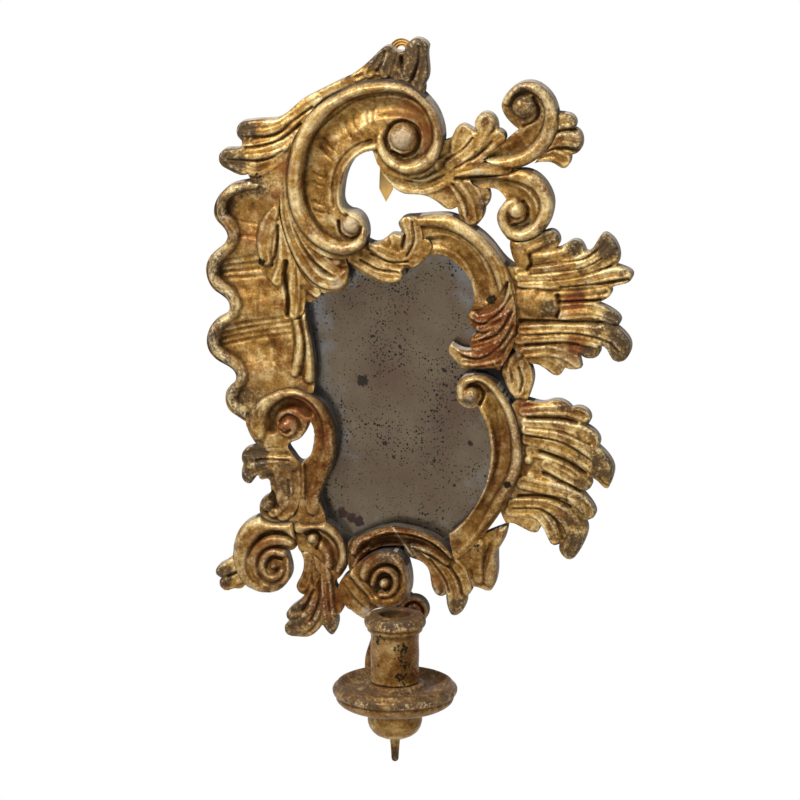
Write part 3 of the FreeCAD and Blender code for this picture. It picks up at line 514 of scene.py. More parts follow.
@dataclass(frozen=True)
class SatinWeave:
    """Gold silk satin: a soft sheen along fine threads."""

    name: str = "silk_satin_woven_gold"
    light: str = "#DDB562"
    dark: str = "#A97B34"
    thread_mm: float = 0.5

    def build(self) -> bpy.types.Material:
        """The material.

        Returns:
            The finished material.
        """
        made, tree, shader = surface(self.name, {"Roughness": 0.42, "Sheen Weight": 0.4})
        place = put(tree, "ShaderNodeTexCoord", {}).outputs["Object"]
        values = {"bands_direction": "X", "Scale": 0.3 / (self.thread_mm * MM), "Distortion": 1.5, "Detail": 2.0}
        thread = put(tree, "ShaderNodeTexWave", values, {"Vector": place}).outputs["Fac"]
        fold = noise(tree, 6.0, 3.0)
        colour = ramp(tree, weighed(tree, (thread, 0.5), (fold, 0.5)), [(0.3, self.dark), (0.7, self.light)])
        wire(tree, shader, {"Base Color": colour, "Normal": bumped(tree, thread, 0.2, 0.1)})
        return made


@dataclass(frozen=True)
class OldSilvering:
    """Old tin-silvered glass: tarnished grey-brown that is also a painted reflection of a dim room, blue-grey at the
    edge, with many dark specks.
    """

    name: str = "tin_silvered_glass_foxed"
    field: str = "#6C604E"
    warm: str = "#5E4D40"
    border: str = "#7F868B"
    speck: str = "#140E09"
    peeled: str = "#33201A"

    def build(self) -> bpy.types.Material:
        """The material.

        Returns:
            The finished material.
        """
        made, tree, shader = surface(self.name, {"IOR": 1.5, "Specular IOR Level": 0.2})
        # grey-brown colour: tarnish and a painted reflection of a dim room
        colour = mixed(tree, spread(tree, noise(tree, 60.0, 4.0), 0.35, 0.65), self.field, self.warm)
        edge = combined(tree, "ADD", mark(tree, "border"), spread(tree, noise(tree, 14.0, 4.0), 0.2, 0.8, (-0.4, 0.4)))
        colour = mixed(tree, spread(tree, edge, 0.25, 0.95, (0.0, 0.8)), colour, self.border)
        place = put(tree, "ShaderNodeTexCoord", {}).outputs["Object"]
        cover = spread(tree, noise(tree, 55.0, 3.0), 0.36, 0.6, (0.55, 1.25))
        spots = combined(tree, "ADD", mark(tree, "blot"), spread(tree, noise(tree, 2.4, 4.0), 0.3, 0.7, (-0.4, 0.3)))
        spots = spread(tree, spots, 0.3, 0.6, (0.0, 0.9))
        # specks of four sizes, each cell with a speck of its own radius
        for size_mm, radius in ((1.4, 0.43), (2.3, 0.38), (4.6, 0.22), (13.0, 0.12)):
            near = put(tree, "ShaderNodeTexVoronoi", {"Scale": 1 / (size_mm * MM)}, {"Vector": place})
            draw = put(tree, "ShaderNodeSeparateColor", {}, {0: near.outputs["Color"]}).outputs[0]
            own = spread(tree, draw, 0.3, 1.0, (0.0, radius))
            wide = combined(tree, "MULTIPLY", own, cover)
            dot = spread(tree, combined(tree, "SUBTRACT", wide, near.outputs["Distance"]), -0.02, 0.06)
            spots = combined(tree, "MAXIMUM", spots, dot)
        colour = mixed(tree, spots, colour, self.speck)
        ragged = spread(tree, noise(tree, 4.0, 6.0, 0.7), 0.3, 0.7, (-0.55, 0.4))
        peel = spread(tree, combined(tree, "ADD", mark(tree, "peel"), ragged), 0.45, 0.6)
        colour = mixed(tree, peel, colour, self.peeled)
        metal = spread(tree, combined(tree, "MAXIMUM", spots, peel), 0.0, 1.0, (0.8, 0.0))
        rough = spread(tree, noise(tree, 18.0, 5.0), 0.3, 0.7, (0.12, 0.3))
        wire(tree, shader, {"Base Color": colour, "Metallic": metal, "Roughness": rough})
        return made


# Carving strokes: what a gouge or a rasp does along a line read from the photograph


class Cut(Enum):
    """What a stroke leaves behind."""

    ROLL = "raised round bar"
    STRAND = "raised strand"
    LOBE = "raised lobe of a leaf with a gouged middle"
    HOLLOW = "sunk trough with steep sides"
    DISH = "sunk trough with soft sides"
    GROOVE = "narrow cut"
    EYE = "button of a volute"


@dataclass(frozen=True)
class Stroke:
    """One stroke of the carving.

    Widths are half-widths in pixels and heights are shares of the block's relief, spread evenly along the line.
    """

    cut: Cut
    widths: tuple[float, ...]
    heights: tuple[float, ...]
    line: tuple[Pixel, ...]


def stroke(cut: Cut, width: float | Sequence[float], height: float | Sequence[float], *line: Pixel) -> Stroke:
    """A stroke from single numbers or rows of them.

    Args:
        cut: What it leaves behind.
        width: Half-width or half-widths along it.
        height: Height or heights along it, for a groove its depth.
        *line: Its middle line, or the one middle of an eye.
    Returns:
        The stroke.
    """
    rows = [(float(value),) if isinstance(value, (int, float)) else tuple(value) for value in (width, height)]
    points = line if len(line) > 1 else (line[0], (line[0][0] + 0.2, line[0][1]))
    return Stroke(cut, rows[0], rows[1], points)


roll, strand, lobe, hollow, dish, groove, eye = (partial(stroke, cut) for cut in Cut)


@dataclass(frozen=True)
class Gouges:
    """Shapes that strokes leave. Depths are shares of the relief, and places across shares of the half-width."""

    roll_seat: float = 0.75
    roll_powers: tuple[float, float] = (2.6, 0.55)
    leaf_seat: float = 0.9
    leaf_stretch: float = 1.6
    lobe_power: float = 2.4
    lobe_depth: float = 0.2
    lobe_gouge: float = 0.66
    line_depth: float = 0.022
    line_count: int = 5
    eye_powers: tuple[float, float] = (3.2, 0.5)
    dish_power: float = 1.5
    groove_level: float = 0.7

    def level(self, cut: Cut, across: np.ndarray, height: np.ndarray, now: np.ndarray,
              base: float, relief: float) -> np.ndarray:
        """The level that a stroke leaves.

        Args:
            cut: Its kind.
            across: Places across it, from 0 in its middle to 1.
            height: Its heights there in mm, for a groove its depths.
            now: Levels before it.
            base: The block's level before carving.
            relief: The block's relief.
        Returns:
            Levels after it.
        """
        low = np.minimum(now, base * self.leaf_seat)
        round_top = 1 - across ** 2
        if cut is Cut.ROLL:
            seat, (inner, outer) = now * self.roll_seat, self.roll_powers
            return np.maximum(now, seat + (height - seat) * (1 - across ** inner) ** outer)
        if cut is Cut.STRAND:
            return np.maximum(now, low + (height - low) * round_top)
        if cut is Cut.LOBE:
            gouged = self.lobe_depth * relief * np.maximum(0, 1 - (across / self.lobe_gouge) ** 2)
            lines = self.line_depth * relief * np.cos(self.line_count * math.pi * across)
            return np.maximum(now, low + (height - low) * (1 - across ** self.lobe_power) - gouged + lines)
        if cut is Cut.EYE:
            inner, outer = self.eye_powers
            return np.maximum(now, height * (1 - across ** inner) ** outer)
        if cut is Cut.HOLLOW:
            return np.minimum(now, now + (height - now) * np.sqrt(round_top))
        if cut is Cut.DISH:
            return now + (height - now) * round_top ** self.dish_power
        return now - height * round_top


GOUGES = Gouges()


def smooth_line(points: np.ndarray, step: float) -> np.ndarray:
    """A smooth curve through points.

    Args:
        points: Rows of places.
        step: Distance between its samples.
    Returns:
        Rows of sampled places.
    """
    if len(points) < 3:
        count = max(2, int(np.linalg.norm(points[-1] - points[0]) / step) + 1)
        return points[0] + (points[-1] - points[0]) * np.linspace(0, 1, count)[:, None]
    padded = np.vstack([2 * points[0] - points[1], points, 2 * points[-1] - points[-2]])
    samples = []
    for before, start, end, after in zip(padded, padded[1:], padded[2:], padded[3:]):
        count = max(2, int(np.linalg.norm(end - start) / step) + 1)
        t = np.linspace(0, 1, count, endpoint=False)[:, None]
        samples.append(0.5 * (2 * start + (end - before) * t + (2 * before - 5 * start + 4 * end - after) * t ** 2
                              + (3 * start - before - 3 * end + after) * t ** 3))
    return np.vstack(samples + [points[-1:]])


def spread_along(values: Sequence[float], shares: np.ndarray) -> np.ndarray:
    """Values spread evenly along a line and read at shares of it.

    Args:
        values: The values.
        shares: Places from 0 to 1.
    Returns:
        The values there.
    """
    if len(values) == 1:
        return np.full_like(shares, values[0])
    return np.interp(shares, np.linspace(0, 1, len(values)), values)


def eased(share: np.ndarray) -> np.ndarray:
    """A share that starts and ends softly.

    Args:
        share: Values from 0 to 1.
    Returns:
        The eased values.
    """
    return share * share * (3 - 2 * share)


def lattice_noise(x: np.ndarray, z: np.ndarray, size: float, seed: int) -> np.ndarray:
    """Smooth unevenness of a hand-made surface.

    Args:
        x: Places across.
        z: Places upward.
        size: Size of its waves.
        seed: Which unevenness.
    Returns:
        Values from -1 to 1.
    """
    cells = 97
    table = np.random.default_rng(seed).uniform(-1, 1, (cells, cells))
    column, row = x / size, z / size
    left, low = np.floor(column).astype(int), np.floor(row).astype(int)
    a, b = eased(column - left), eased(row - low)
    corner = [table[(low + i) % cells, (left + j) % cells] for i in (0, 1) for j in (0, 1)]
    return (corner[0] * (1 - a) + corner[1] * a) * (1 - b) + (corner[2] * (1 - a) + corner[3] * a) * b


def blurred(level: np.ndarray, radius: float) -> np.ndarray:
    """A field softened by a round brush.

    Args:
        level: The field.
        radius: The brush's radius in cells.
    Returns:
        The softened field.
    """
    reach = max(1, int(3 * radius))
    brush = np.exp(-0.5 * (np.arange(-reach, reach + 1) / radius) ** 2)
    brush /= brush.sum()
    padded = np.pad(level, reach, mode="edge")
    padded = np.apply_along_axis(np.convolve, 0, padded, brush, "same")
    padded = np.apply_along_axis(np.convolve, 1, padded, brush, "same")
    return padded[reach:-reach, reach:-reach]


# Marks read from the photograph, worn gilding and painted shade among them: place, reach in pixels and strength


@dataclass(frozen=True)
class SpotMark:
    """A kind of mark, a change in the surface or painted shade, and where it shows: whole near a spot's middle, then
    fading.
    """

    kind: str
    spots: tuple[tuple[float, float, float, float], ...]
    start: float = 1.6
    fall: float = 1.1

    def at(self, pixels: np.ndarray) -> np.ndarray:
        """How strongly it shows.

        Args:
            pixels: Places as pixels.
        Returns:
            Strengths from 0 to 1.
        """
        total = np.zeros(len(pixels))
        for x, y, reach, strength in self.spots:
            away = np.hypot(pixels[:, 0] - x, pixels[:, 1] - y) / reach
            total = np.maximum(total, strength * np.clip(self.start - away * self.fall, 0, 1))
        return total


WORN = SpotMark("worn", (
    (243, 130, 14, 1), (232, 160, 18, 1), (385, 58, 20, 1), (416, 52, 22, 1), (420, 72, 18, 1), (395, 66, 20, 0.9),
    (522, 102, 22, 0.8), (540, 90, 12, 0.6), (607, 245, 18, 1), (575, 246, 14, 0.9), (550, 234, 12, 0.8),
    (622, 345, 20, 1), (612, 320, 14, 1), (590, 353, 12, 0.8), (626, 276, 10, 0.7), (604, 466, 20, 0.9),
    (586, 416, 10, 0.7), (584, 483, 12, 0.7), (588, 510, 14, 0.8), (574, 545, 18, 0.9), (562, 404, 12, 0.6),
    (253, 456, 18, 1), (249, 476, 12, 1), (266, 506, 10, 0.8), (222, 575, 14, 0.9), (292, 622, 18, 0.9),
    (332, 628, 10, 0.8), (296, 606, 12, 0.8), (455, 606, 12, 0.8), (440, 590, 8, 0.6), (245, 402, 24, 0.7),
    (222, 208, 16, 0.8), (214, 268, 14, 0.8), (211, 340, 14, 0.8), (236, 187, 14, 0.7), (231, 238, 10, 0.7),
    (217, 254, 10, 0.7), (226, 293, 10, 0.7), (233, 311, 8, 0.7), (218, 326, 10, 0.7), (224, 359, 10, 0.7),
    (240, 377, 10, 0.7), (234, 395, 12, 0.8), (256, 186, 16, 0.7), (570, 128, 14, 0.7), (578, 146, 10, 0.8),
    (463, 127, 8, 0.6), (487, 116, 10, 0.6), (484, 204, 10, 0.8), (548, 308, 10, 0.9), (518, 356, 6, 0.9),
    (238, 545, 10, 0.5), (272, 590, 18, 0.6), (556, 540, 10, 0.7), (388, 552, 14, 0.9), (410, 552, 14, 0.8),
    (436, 570, 10, 0.5), (276, 482, 34, 0.7), (590, 262, 22, 0.55), (602, 300, 16, 0.5), (604, 334, 22, 0.65),
    (588, 440, 24, 0.6), (572, 468, 20, 0.5), (578, 500, 22, 0.65), (568, 528, 22, 0.7), (560, 414, 18, 0.5),
    (536, 100, 26, 0.55), (548, 126, 20, 0.45), (316, 612, 20, 0.55), (566, 360, 18, 0.5), (270, 575, 22, 0.4),
    (550, 105, 26, 0.5), (566, 265, 50, 0.36), (570, 340, 50, 0.36), (560, 450, 55, 0.36), (548, 515, 40, 0.36),
    (484, 140, 30, 0.3), (400, 75, 40, 0.4)))
BARE = SpotMark("bare", (
    (401, 140, 14, 0.66), (350, 226, 11, 0.66), (478, 172, 5, 0.6), (468, 402, 9, 0.55), (336, 284, 8, 0.6),
    (380, 586, 9, 0.4), (310, 538, 6, 0.4), (588, 282, 8, 0.35), (366, 611, 5, 0.9),
    *((389.5 + 1.0 * step, 523 + 1.43 * step, 0.95, 1.3) for step in range(24))))
CLAY = SpotMark("clay", (
    (424, 132, 9, 0.9), (408, 112, 14, 0.7), (300, 408, 14, 0.9), (288, 422, 10, 0.9), (575, 350, 10, 0.9),
    (572, 303, 12, 0.9), (522, 408, 8, 0.9), (285, 168, 9, 0.8), (268, 196, 10, 0.5), (338, 262, 9, 0.6),
    (500, 315, 14, 0.6), (486, 352, 16, 0.6), (358, 560, 8, 0.6), (340, 540, 8, 0.5), (424, 146, 8, 0.6),
    (262, 545, 14, 0.5), (438, 580, 8, 0.6), (325, 600, 14, 0.5), (484, 320, 10, 0.7), (330, 550, 10, 0.6),
    (252, 238, 10, 0.5), (320, 440, 10, 0.5), (412, 608, 10, 0.8)))
LOST = SpotMark("lost", (
    (381, 641, 7, 0.6), (402, 650, 9, 0.62), (404, 663, 10, 0.62), (400, 678, 10, 0.62), (386, 656, 8, 0.5),
    (375, 665, 8, 0.45), (392, 640, 8, 0.45), (262, 262, 5, 0.9), (507, 485, 5, 0.8), (492, 300, 6, 0.9),
    (284, 430, 4, 0.8), (262, 172, 8, 0.6), (476, 548, 6, 0.6)))
# brown varnish, and painted shade where parts lie in shadow: the candle arm, the bottom arch and the lower left
GLAZE_AND_SHADE = SpotMark("glaze_and_shade", (
    (325, 430, 30, 1), (322, 480, 34, 0.9), (310, 515, 22, 0.7), (320, 590, 50, 0.7), (385, 585, 36, 0.65),
    (400, 538, 34, 1), (370, 548, 26, 1), (440, 545, 24, 0.8), (440, 580, 30, 0.6), (492, 335, 44, 1),
    (503, 440, 24, 0.85), (498, 480, 26, 0.8), (480, 515, 24, 0.6), (475, 268, 26, 0.6), (280, 500, 26, 0.55),
    (286, 425, 22, 0.7), (266, 560, 34, 0.45), (240, 280, 30, 0.35), (250, 225, 26, 0.5), (530, 135, 24, 0.5),
    (480, 200, 26, 0.55), (412, 662, 26, 0.9), (356, 655, 22, 1), (394, 730, 30, 0.2), (410, 610, 22, 1.0),
    (395, 625, 40, 0.6), (560, 360, 24, 0.4), (540, 405, 24, 0.4), (372, 268, 34, 0.35), (412, 245, 24, 0.4),
    (425, 130, 20, 0.5), (330, 170, 26, 0.35), (234, 222, 20, 0.6), (230, 276, 20, 0.6), (230, 346, 20, 0.5),
    (262, 302, 18, 0.45), (250, 376, 26, 0.6), (285, 490, 34, 0.7), (268, 566, 30, 0.8), (320, 592, 46, 0.9),
    (386, 586, 34, 0.8), (485, 565, 28, 0.6), (395, 65, 36, 0.6), (525, 105, 26, 0.4), (548, 112, 34, 0.2),
    (520, 190, 30, 0.15)))
GILDING_MARKS = (WORN, BARE, CLAY, LOST, GLAZE_AND_SHADE)
PEELED = SpotMark("peel", (
    (343, 513, 6, 0.85), (351, 518, 6, 0.95), (359, 522, 6, 0.9), (436, 522, 6, 0.5), (498, 392, 6, 0.6)))
BLOTTED = SpotMark("blot", (
    (363, 381, 5.5, 1), (360, 378, 3, 1), (385, 443, 2.4, 1), (470, 443, 2.8, 1), (444, 370, 2, 0.9),
    (434, 461, 2, 0.9), (394, 457, 2, 0.9), (454, 485, 2, 0.9), (372, 336, 2, 0.8)))


def pixels_of(places: np.ndarray) -> np.ndarray:
    """Where places of the part stand in the photograph.

    Args:
        places: Rows of x, y and z in mm.
    Returns:
        Rows of pixel places.
    """
    backward, rightward, upward = VIEW.axes()
    nail = VIEW.nail()
    seen = places + [nail[0], VIEW.edge_depth_mm, nail[2]]
    away = VIEW.length_px * VIEW.mm_per_px - seen @ backward
    middle = VIEW.image_px / 2
    return np.column_stack([middle + VIEW.length_px * (seen @ rightward) / away,
                            middle - VIEW.length_px * (seen @ upward) / away])


# Meshes


@dataclass
class Form:
    """Corners in mm, faces with their finishes, and values stored on the corners."""

    corners: np.ndarray
    faces: list[list[int]]
    finishes: list[int]
    marks: dict[str, np.ndarray]

    def joined(self, other: "Form") -> "Form":
        """Two forms as one.

        Args:
            other: The form to add.
        Returns:
            Both together.
        """
        count = len(self.corners)
        marks = {}
        for name in {**self.marks, **other.marks}:
            parts = [form.marks.get(name, np.zeros(len(form.corners))) for form in (self, other)]
            marks[name] = np.concatenate(parts)
        faces = self.faces + [[index + count for index in face] for face in other.faces]
        return Form(np.vstack([self.corners, other.corners]), faces, self.finishes + other.finishes, marks)

    def weathered_and_shaded(self) -> "Form":
        """The form with the worn gilding and painted shade read from the photograph stored on its corners.

        Returns:
            The form itself.
        """
        pixels = pixels_of(self.corners)
        for spot_mark in GILDING_MARKS:
            self.marks[spot_mark.kind] = np.maximum(self.marks.get(spot_mark.kind, 0.0), spot_mark.at(pixels))
        return self

    def piece(self, name: str, materials: Sequence[bpy.types.Material], body: str, node: str,
              slot: str) -> bpy.types.Object:
        """The form as a piece that stands in for a solid.

        Args:
            name: The piece's name.
            materials: Its finishes.
            body: The body that it moves with.
            node: The solid that it replaces.
            slot: The record's material slot; not used.
        Returns:
            The piece.
        """
        mesh = bpy.data.meshes.new(name)
        mesh.from_pydata((self.corners * MM).tolist(), [], self.faces)
        mesh.polygons.foreach_set("material_index", self.finishes)
        mesh.polygons.foreach_set("use_smooth", [True] * len(self.faces))
        for material in materials:
            mesh.materials.append(material)
        for key, values in self.marks.items():
            mesh.attributes.new(key, "FLOAT", "POINT").data.foreach_set("value", values.astype(np.float32))
        mesh.update()
        made = bpy.data.objects.new(name, mesh)
        bpy.context.scene.collection.objects.link(made)
        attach(made, body)
        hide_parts(node)
        LOG.info("%s: %d faces", name, len(self.faces))
        return made


@lru_cache(maxsize=None)
def back_loops(node: str, board: float, pitch: float) -> list[np.ndarray]:
    """The closed loops round a solid's flat back.

    Args:
        node: The solid's name.
        board: Distance of that back from the wall in mm.
        pitch: Distance between the loops' points in mm.
    Returns:
        Loops of x and z in mm, the longest first.
    """
    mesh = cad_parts[node].data
    places = np.array([vertex.co for vertex in mesh.vertices]) / MM
    keys, welded = np.unique(np.round(places, 3), axis=0, return_inverse=True)
    welded = welded.reshape(-1)
    count: dict[tuple[int, int], int] = {}
    for face in mesh.polygons:
        corners = [int(welded[index]) for index in face.vertices]
        if all(abs(keys[corner][1] + board) < TOUCH_MM for corner in corners):
            for pair in zip(corners, corners[1:] + corners[:1]):
                pair = (min(pair), max(pair))
                count[pair] = count.get(pair, 0) + 1
    joined: dict[int, list[int]] = {}
    for (a, b), uses in count.items():
        if uses == 1:
            joined.setdefault(a, []).append(b)
            joined.setdefault(b, []).append(a)
    loops = []
    while joined:
        here = next(iter(joined))
        chain = [here]
        while joined.get(here):
            after = joined[here].pop()
            joined[after].remove(here)
            here = after
            chain.append(here)
        joined = {key: ends for key, ends in joined.items() if ends}
        loop = keys[chain][:, [0, 2]]
        lengths = np.concatenate([[0], np.cumsum(np.linalg.norm(np.diff(loop, axis=0), axis=1))])
        if lengths[-1] > SHORTEST_LOOP_MM:
            steps = np.linspace(0, lengths[-1], int(lengths[-1] / pitch), endpoint=False)
            loops.append(np.column_stack([np.interp(steps, lengths, loop[:, axis]) for axis in (0, 1)]))
    return sorted(loops, key=len, reverse=True)


def within(x: np.ndarray, z: np.ndarray, loops: list[np.ndarray]) -> np.ndarray:
    """Which places lie inside an outline.

    Args:
        x: Places across.
        z: Places upward.
        loops: The outline.
    Returns:
        Whether each place is inside.
    """
    shape, x, z = x.shape, x.ravel(), z.ravel()
    inside = np.zeros(len(x), bool)
    for loop in loops:
        for (x1, z1), (x2, z2) in zip(loop, np.roll(loop, -1, axis=0)):
            if z1 != z2:
                rows = (z1 > z) != (z2 > z)
                inside[rows] ^= x[rows] < (x2 - x1) * (z[rows] - z1) / (z2 - z1) + x1
    return inside.reshape(shape)


def distance(x: np.ndarray, z: np.ndarray, points: np.ndarray) -> np.ndarray:
    """How far places are from the nearest of some points.

    Args:
        x: Places across.
        z: Places upward.
        points: The points.
    Returns:
        The distances.
    """
    shape, x, z = x.shape, x.ravel(), z.ravel()
    away = np.empty(len(x))
    batch = 20000
    for part in range(0, len(x), batch):
        cut = slice(part, part + batch)
        gaps = (x[cut, None] - points[None, :, 0]) ** 2 + (z[cut, None] - points[None, :, 1]) ** 2
        away[cut] = np.sqrt(gaps.min(1))
    return away.reshape(shape)


def read(grid: np.ndarray, at: np.ndarray) -> np.ndarray:
    """A grid's values between its points.

    Args:
        grid: The grid.
        at: Rows of column and row places.
    Returns:
        The values there.
    """
    column = np.clip(at[:, 0], 0, grid.shape[1] - 1.001)
    row = np.clip(at[:, 1], 0, grid.shape[0] - 1.001)
    i, j = row.astype(int), column.astype(int)
    a, b = column - j, row - i
    low = grid[i, j] * (1 - a) + grid[i, j + 1] * a
    return low * (1 - b) + (grid[i + 1, j] * (1 - a) + grid[i + 1, j + 1] * a) * b


@dataclass
class FlatCut:
    """A piece cut to the outline of its solid's flat back, with a front that stands up by a height field.

    Fine and broad are the sizes, in mm, of the hollows that are darkened: grime in the fine ones and painted shade in
    the broad ones.
    """

    node: str
    board: float = field(default=BOARD_MM, kw_only=True)
    pitch: float = field(default=0.7, kw_only=True)
    fine: float = field(default=1.6, kw_only=True)
    broad: float = field(default=4.5, kw_only=True)

    def heights(self, x: np.ndarray, z: np.ndarray, inside: np.ndarray, away: np.ndarray) -> np.ndarray:
        """Height of the front over the back.

        Args:
            x: Places across in mm.
            z: Places upward in mm.
            inside: Whether each place is inside the outline.
            away: Distances to the outline.
        Returns:
            Heights in mm.
        """
        raise NotImplementedError

    def form(self) -> Form:
        """Front, sides and back, with the front's hollows and crests stored.

        Returns:
            The form.
        """
        loops = back_loops(self.node, self.board, self.pitch)
        rim = np.vstack(loops)
        low, high = rim.min(0) - 2 * self.pitch, rim.max(0) + 2 * self.pitch
        columns = np.arange(low[0], high[0] + self.pitch, self.pitch)
        rows = np.arange(low[1], high[1] + self.pitch, self.pitch)
        x, z = np.meshgrid(columns, rows)
        inside, away = within(x, z, loops), distance(x, z, rim)
        level = self.heights(x, z, inside, away)
        fine, broad = (level - blurred(level, size / self.pitch) for size in (self.fine, self.broad))
        # darkened hollows: grime in fine crevices and painted shade in wide recesses
        sunk = np.clip(-fine / 0.9 - 0.1, 0, 1) * 0.8 + np.clip(-broad / 6.0, 0, 0.5) * 0.6
        keep = inside & (away > 0.55 * self.pitch)
        ring = []
        start = 0
        for loop in loops:
            ring += [(start + i, start + (i + 1) % len(loop)) for i in range(len(loop))]
            start += len(loop)
        flat, faces = self.filled(np.vstack([rim, np.column_stack([x[keep], z[keep]])]), ring, loops)
        at = (flat - [columns[0], rows[0]]) / self.pitch
        front = np.column_stack([flat[:, 0], -self.board - read(level, at), flat[:, 1]])
        rim_height = read(level, (rim - [columns[0], rows[0]]) / self.pitch)
        lip = np.column_stack([rim[:, 0], -self.board - rim_height, rim[:, 1]])
        foot = np.column_stack([rim[:, 0], np.full(len(rim), -self.board), rim[:, 1]])
        spots, closing = self.filled(rim, ring, loops)
        back = np.column_stack([spots[:, 0], np.full(len(spots), -self.board), spots[:, 1]])
        first, second, third = len(front), len(front) + len(rim), len(front) + 2 * len(rim)
        polygons = faces.tolist()
        ends = np.array(ring)
        along = rim[ends[:, 1]] - rim[ends[:, 0]]
        along /= np.maximum(np.linalg.norm(along, axis=1), 1e-9)[:, None]
        beside = rim[ends].mean(1) + 0.5 * self.pitch * np.column_stack([-along[:, 1], along[:, 0]])
        for (a, b), leftward in zip(ring, within(beside[:, 0], beside[:, 1], loops)):
            quad = [first + a, first + b, second + b, second + a]
            polygons.append(quad if leftward else quad[::-1])
        polygons += (closing[:, ::-1] + third).tolist()
        finishes = [0] * len(faces) + [1] * len(ring) + [2] * len(closing)
        rest = np.zeros(2 * len(rim) + len(back))
        marks = {"hollow": np.concatenate([read(sunk, at), rest]),
                 "crest": np.concatenate([read(np.clip(fine / 0.7, 0, 1), at), rest])}
        return Form(np.vstack([front, lip, foot, back]), polygons, finishes, marks)

    @staticmethod
    def filled(points: np.ndarray, ring: list[tuple[int, int]],
               loops: list[np.ndarray]) -> tuple[np.ndarray, np.ndarray]:
        """Triangles over an outline, all turned to the front.

        Args:
            points: The outline's points and those inside it.
            ring: The outline's edges.
            loops: The outline.
        Returns:
            The points and the triangles.
        """
        made = delaunay_2d_cdt([Vector(row) for row in points], ring, [], 1, 1e-5)
        flat, faces = np.array([tuple(place) for place in made[0]]), np.array(made[2])
        middles = flat[faces].mean(1)
        faces = faces[within(middles[:, 0], middles[:, 1], loops)]
        first, second = flat[faces[:, 1]] - flat[faces[:, 0]], flat[faces[:, 2]] - flat[faces[:, 0]]
        turned = first[:, 0] * second[:, 1] - first[:, 1] * second[:, 0] < 0
        faces[turned] = faces[turned][:, ::-1]
        return flat, faces


# Unevenness of a carved front: depth and size in mm, and which one
HAND_MADE = ((0.3, 6.0, 3), (0.14, 2.2, 5))


@dataclass
class CarvedBlock(FlatCut):
    """One carved and gilded block, with the strokes read from the photograph.

    Floor, edge and shared are shares of the relief: the level before carving, and the levels where the front meets
    the sides and where it meets another block. Joints and the whole front are softened over some cells of its grid.
    """

    relief: float
    floor: float
    edge: float
    rounding: float
    strokes: tuple[Stroke, ...]
    crowd: "Crowd | None" = field(default=None, kw_only=True)
    shared: float = field(default=0.7, kw_only=True)
    thinnest: float = field(default=0.6, kw_only=True)
    joint_cells: float = field(default=2.5, kw_only=True)
    soft_cells: float = field(default=0.7, kw_only=True)

    def carve(self, x: np.ndarray, z: np.ndarray) -> np.ndarray:
        """Height of the carving before its edge is rounded.

        Args:
            x: Places across in mm.
            z: Places upward in mm.
        Returns:
            Heights in mm.
        """
        spots = np.column_stack([x.ravel(), z.ravel()])
        base = self.floor * self.relief
        level = np.full(len(spots), base)
        for made in self.strokes:
            shares = np.linspace(0, 1, len(made.line))
            heights = spread_along((GOUGES.groove_level,) if made.cut is Cut.GROOVE else made.heights, shares)
            line = smooth_line(VIEW.place(made.line, self.board + heights * self.relief), 0.5)
            stretch = VIEW.mm_per_px * (GOUGES.leaf_stretch if made.cut in (Cut.STRAND, Cut.LOBE) else 1.0)
            reach = max(made.widths) * stretch
            close = np.flatnonzero(np.all((spots > line.min(0) - reach) & (spots < line.max(0) + reach), axis=1))
            if not len(close):
                continue
            here = spots[close]
            gaps = (here ** 2).sum(1)[:, None] + (line ** 2).sum(1)[None, :] - 2 * here @ line.T
            nearest = gaps.argmin(1)
            along = nearest / max(1, len(line) - 1)
            away = np.sqrt(np.maximum(gaps[np.arange(len(close)), nearest], 0))
            across = away / (spread_along(made.widths, along) * stretch)
            hit = across < 1
            close, across, along = close[hit], across[hit], along[hit]
            height = spread_along(made.heights, along) * self.relief
            level[close] = GOUGES.level(made.cut, across, height, level[close], base, self.relief)
        return np.maximum(level.reshape(x.shape), self.thinnest)

    def heights(self, x: np.ndarray, z: np.ndarray, inside: np.ndarray, away: np.ndarray) -> np.ndarray:
        """See FlatCut.heights; the carving with a rounded edge and a hand-made unevenness.

        Args:
            x: Places across in mm.
            z: Places upward in mm.
            inside: Whether each place is inside the outline.
            away: Distances to the outline.
        Returns:
            Heights in mm.
        """
        level = self.carve(x, z)
        level += sum(deep * lattice_noise(x, z, size, seed) for deep, size, seed in HAND_MADE)
        top = self.edge * self.relief
        if self.crowd:
            met = self.crowd.touched(self.node, np.column_stack([x.ravel(), z.ravel()])).reshape(x.shape)
            top = top + (self.shared - self.edge) * self.relief * blurred(met.astype(float), self.joint_cells)
        turn = np.sqrt(1 - (1 - np.clip(away / self.rounding, 0, 1)) ** 2)
        level = np.where(inside, np.minimum(level, top + (level.max() - top) * turn), np.minimum(level, top))
        return blurred(level, self.soft_cells)

    def build(self, materials: Sequence[bpy.types.Material], crowd: "Crowd") -> bpy.types.Object:
        """Make the block and put it in place of its solid.

        Args:
            materials: Front, side and back finishes.
            crowd: All outlines, which tells where this one meets others.
        Returns:
            The new piece.
        """
        self.crowd = crowd
        form = self.form().weathered_and_shaded()
        form.marks["joint_grime_and_shade"] = crowd.soil_and_shade(self.node, form.corners)
        return form.piece("carved_" + self.node, materials, "mirror_frame", self.node, "gilt_wood")


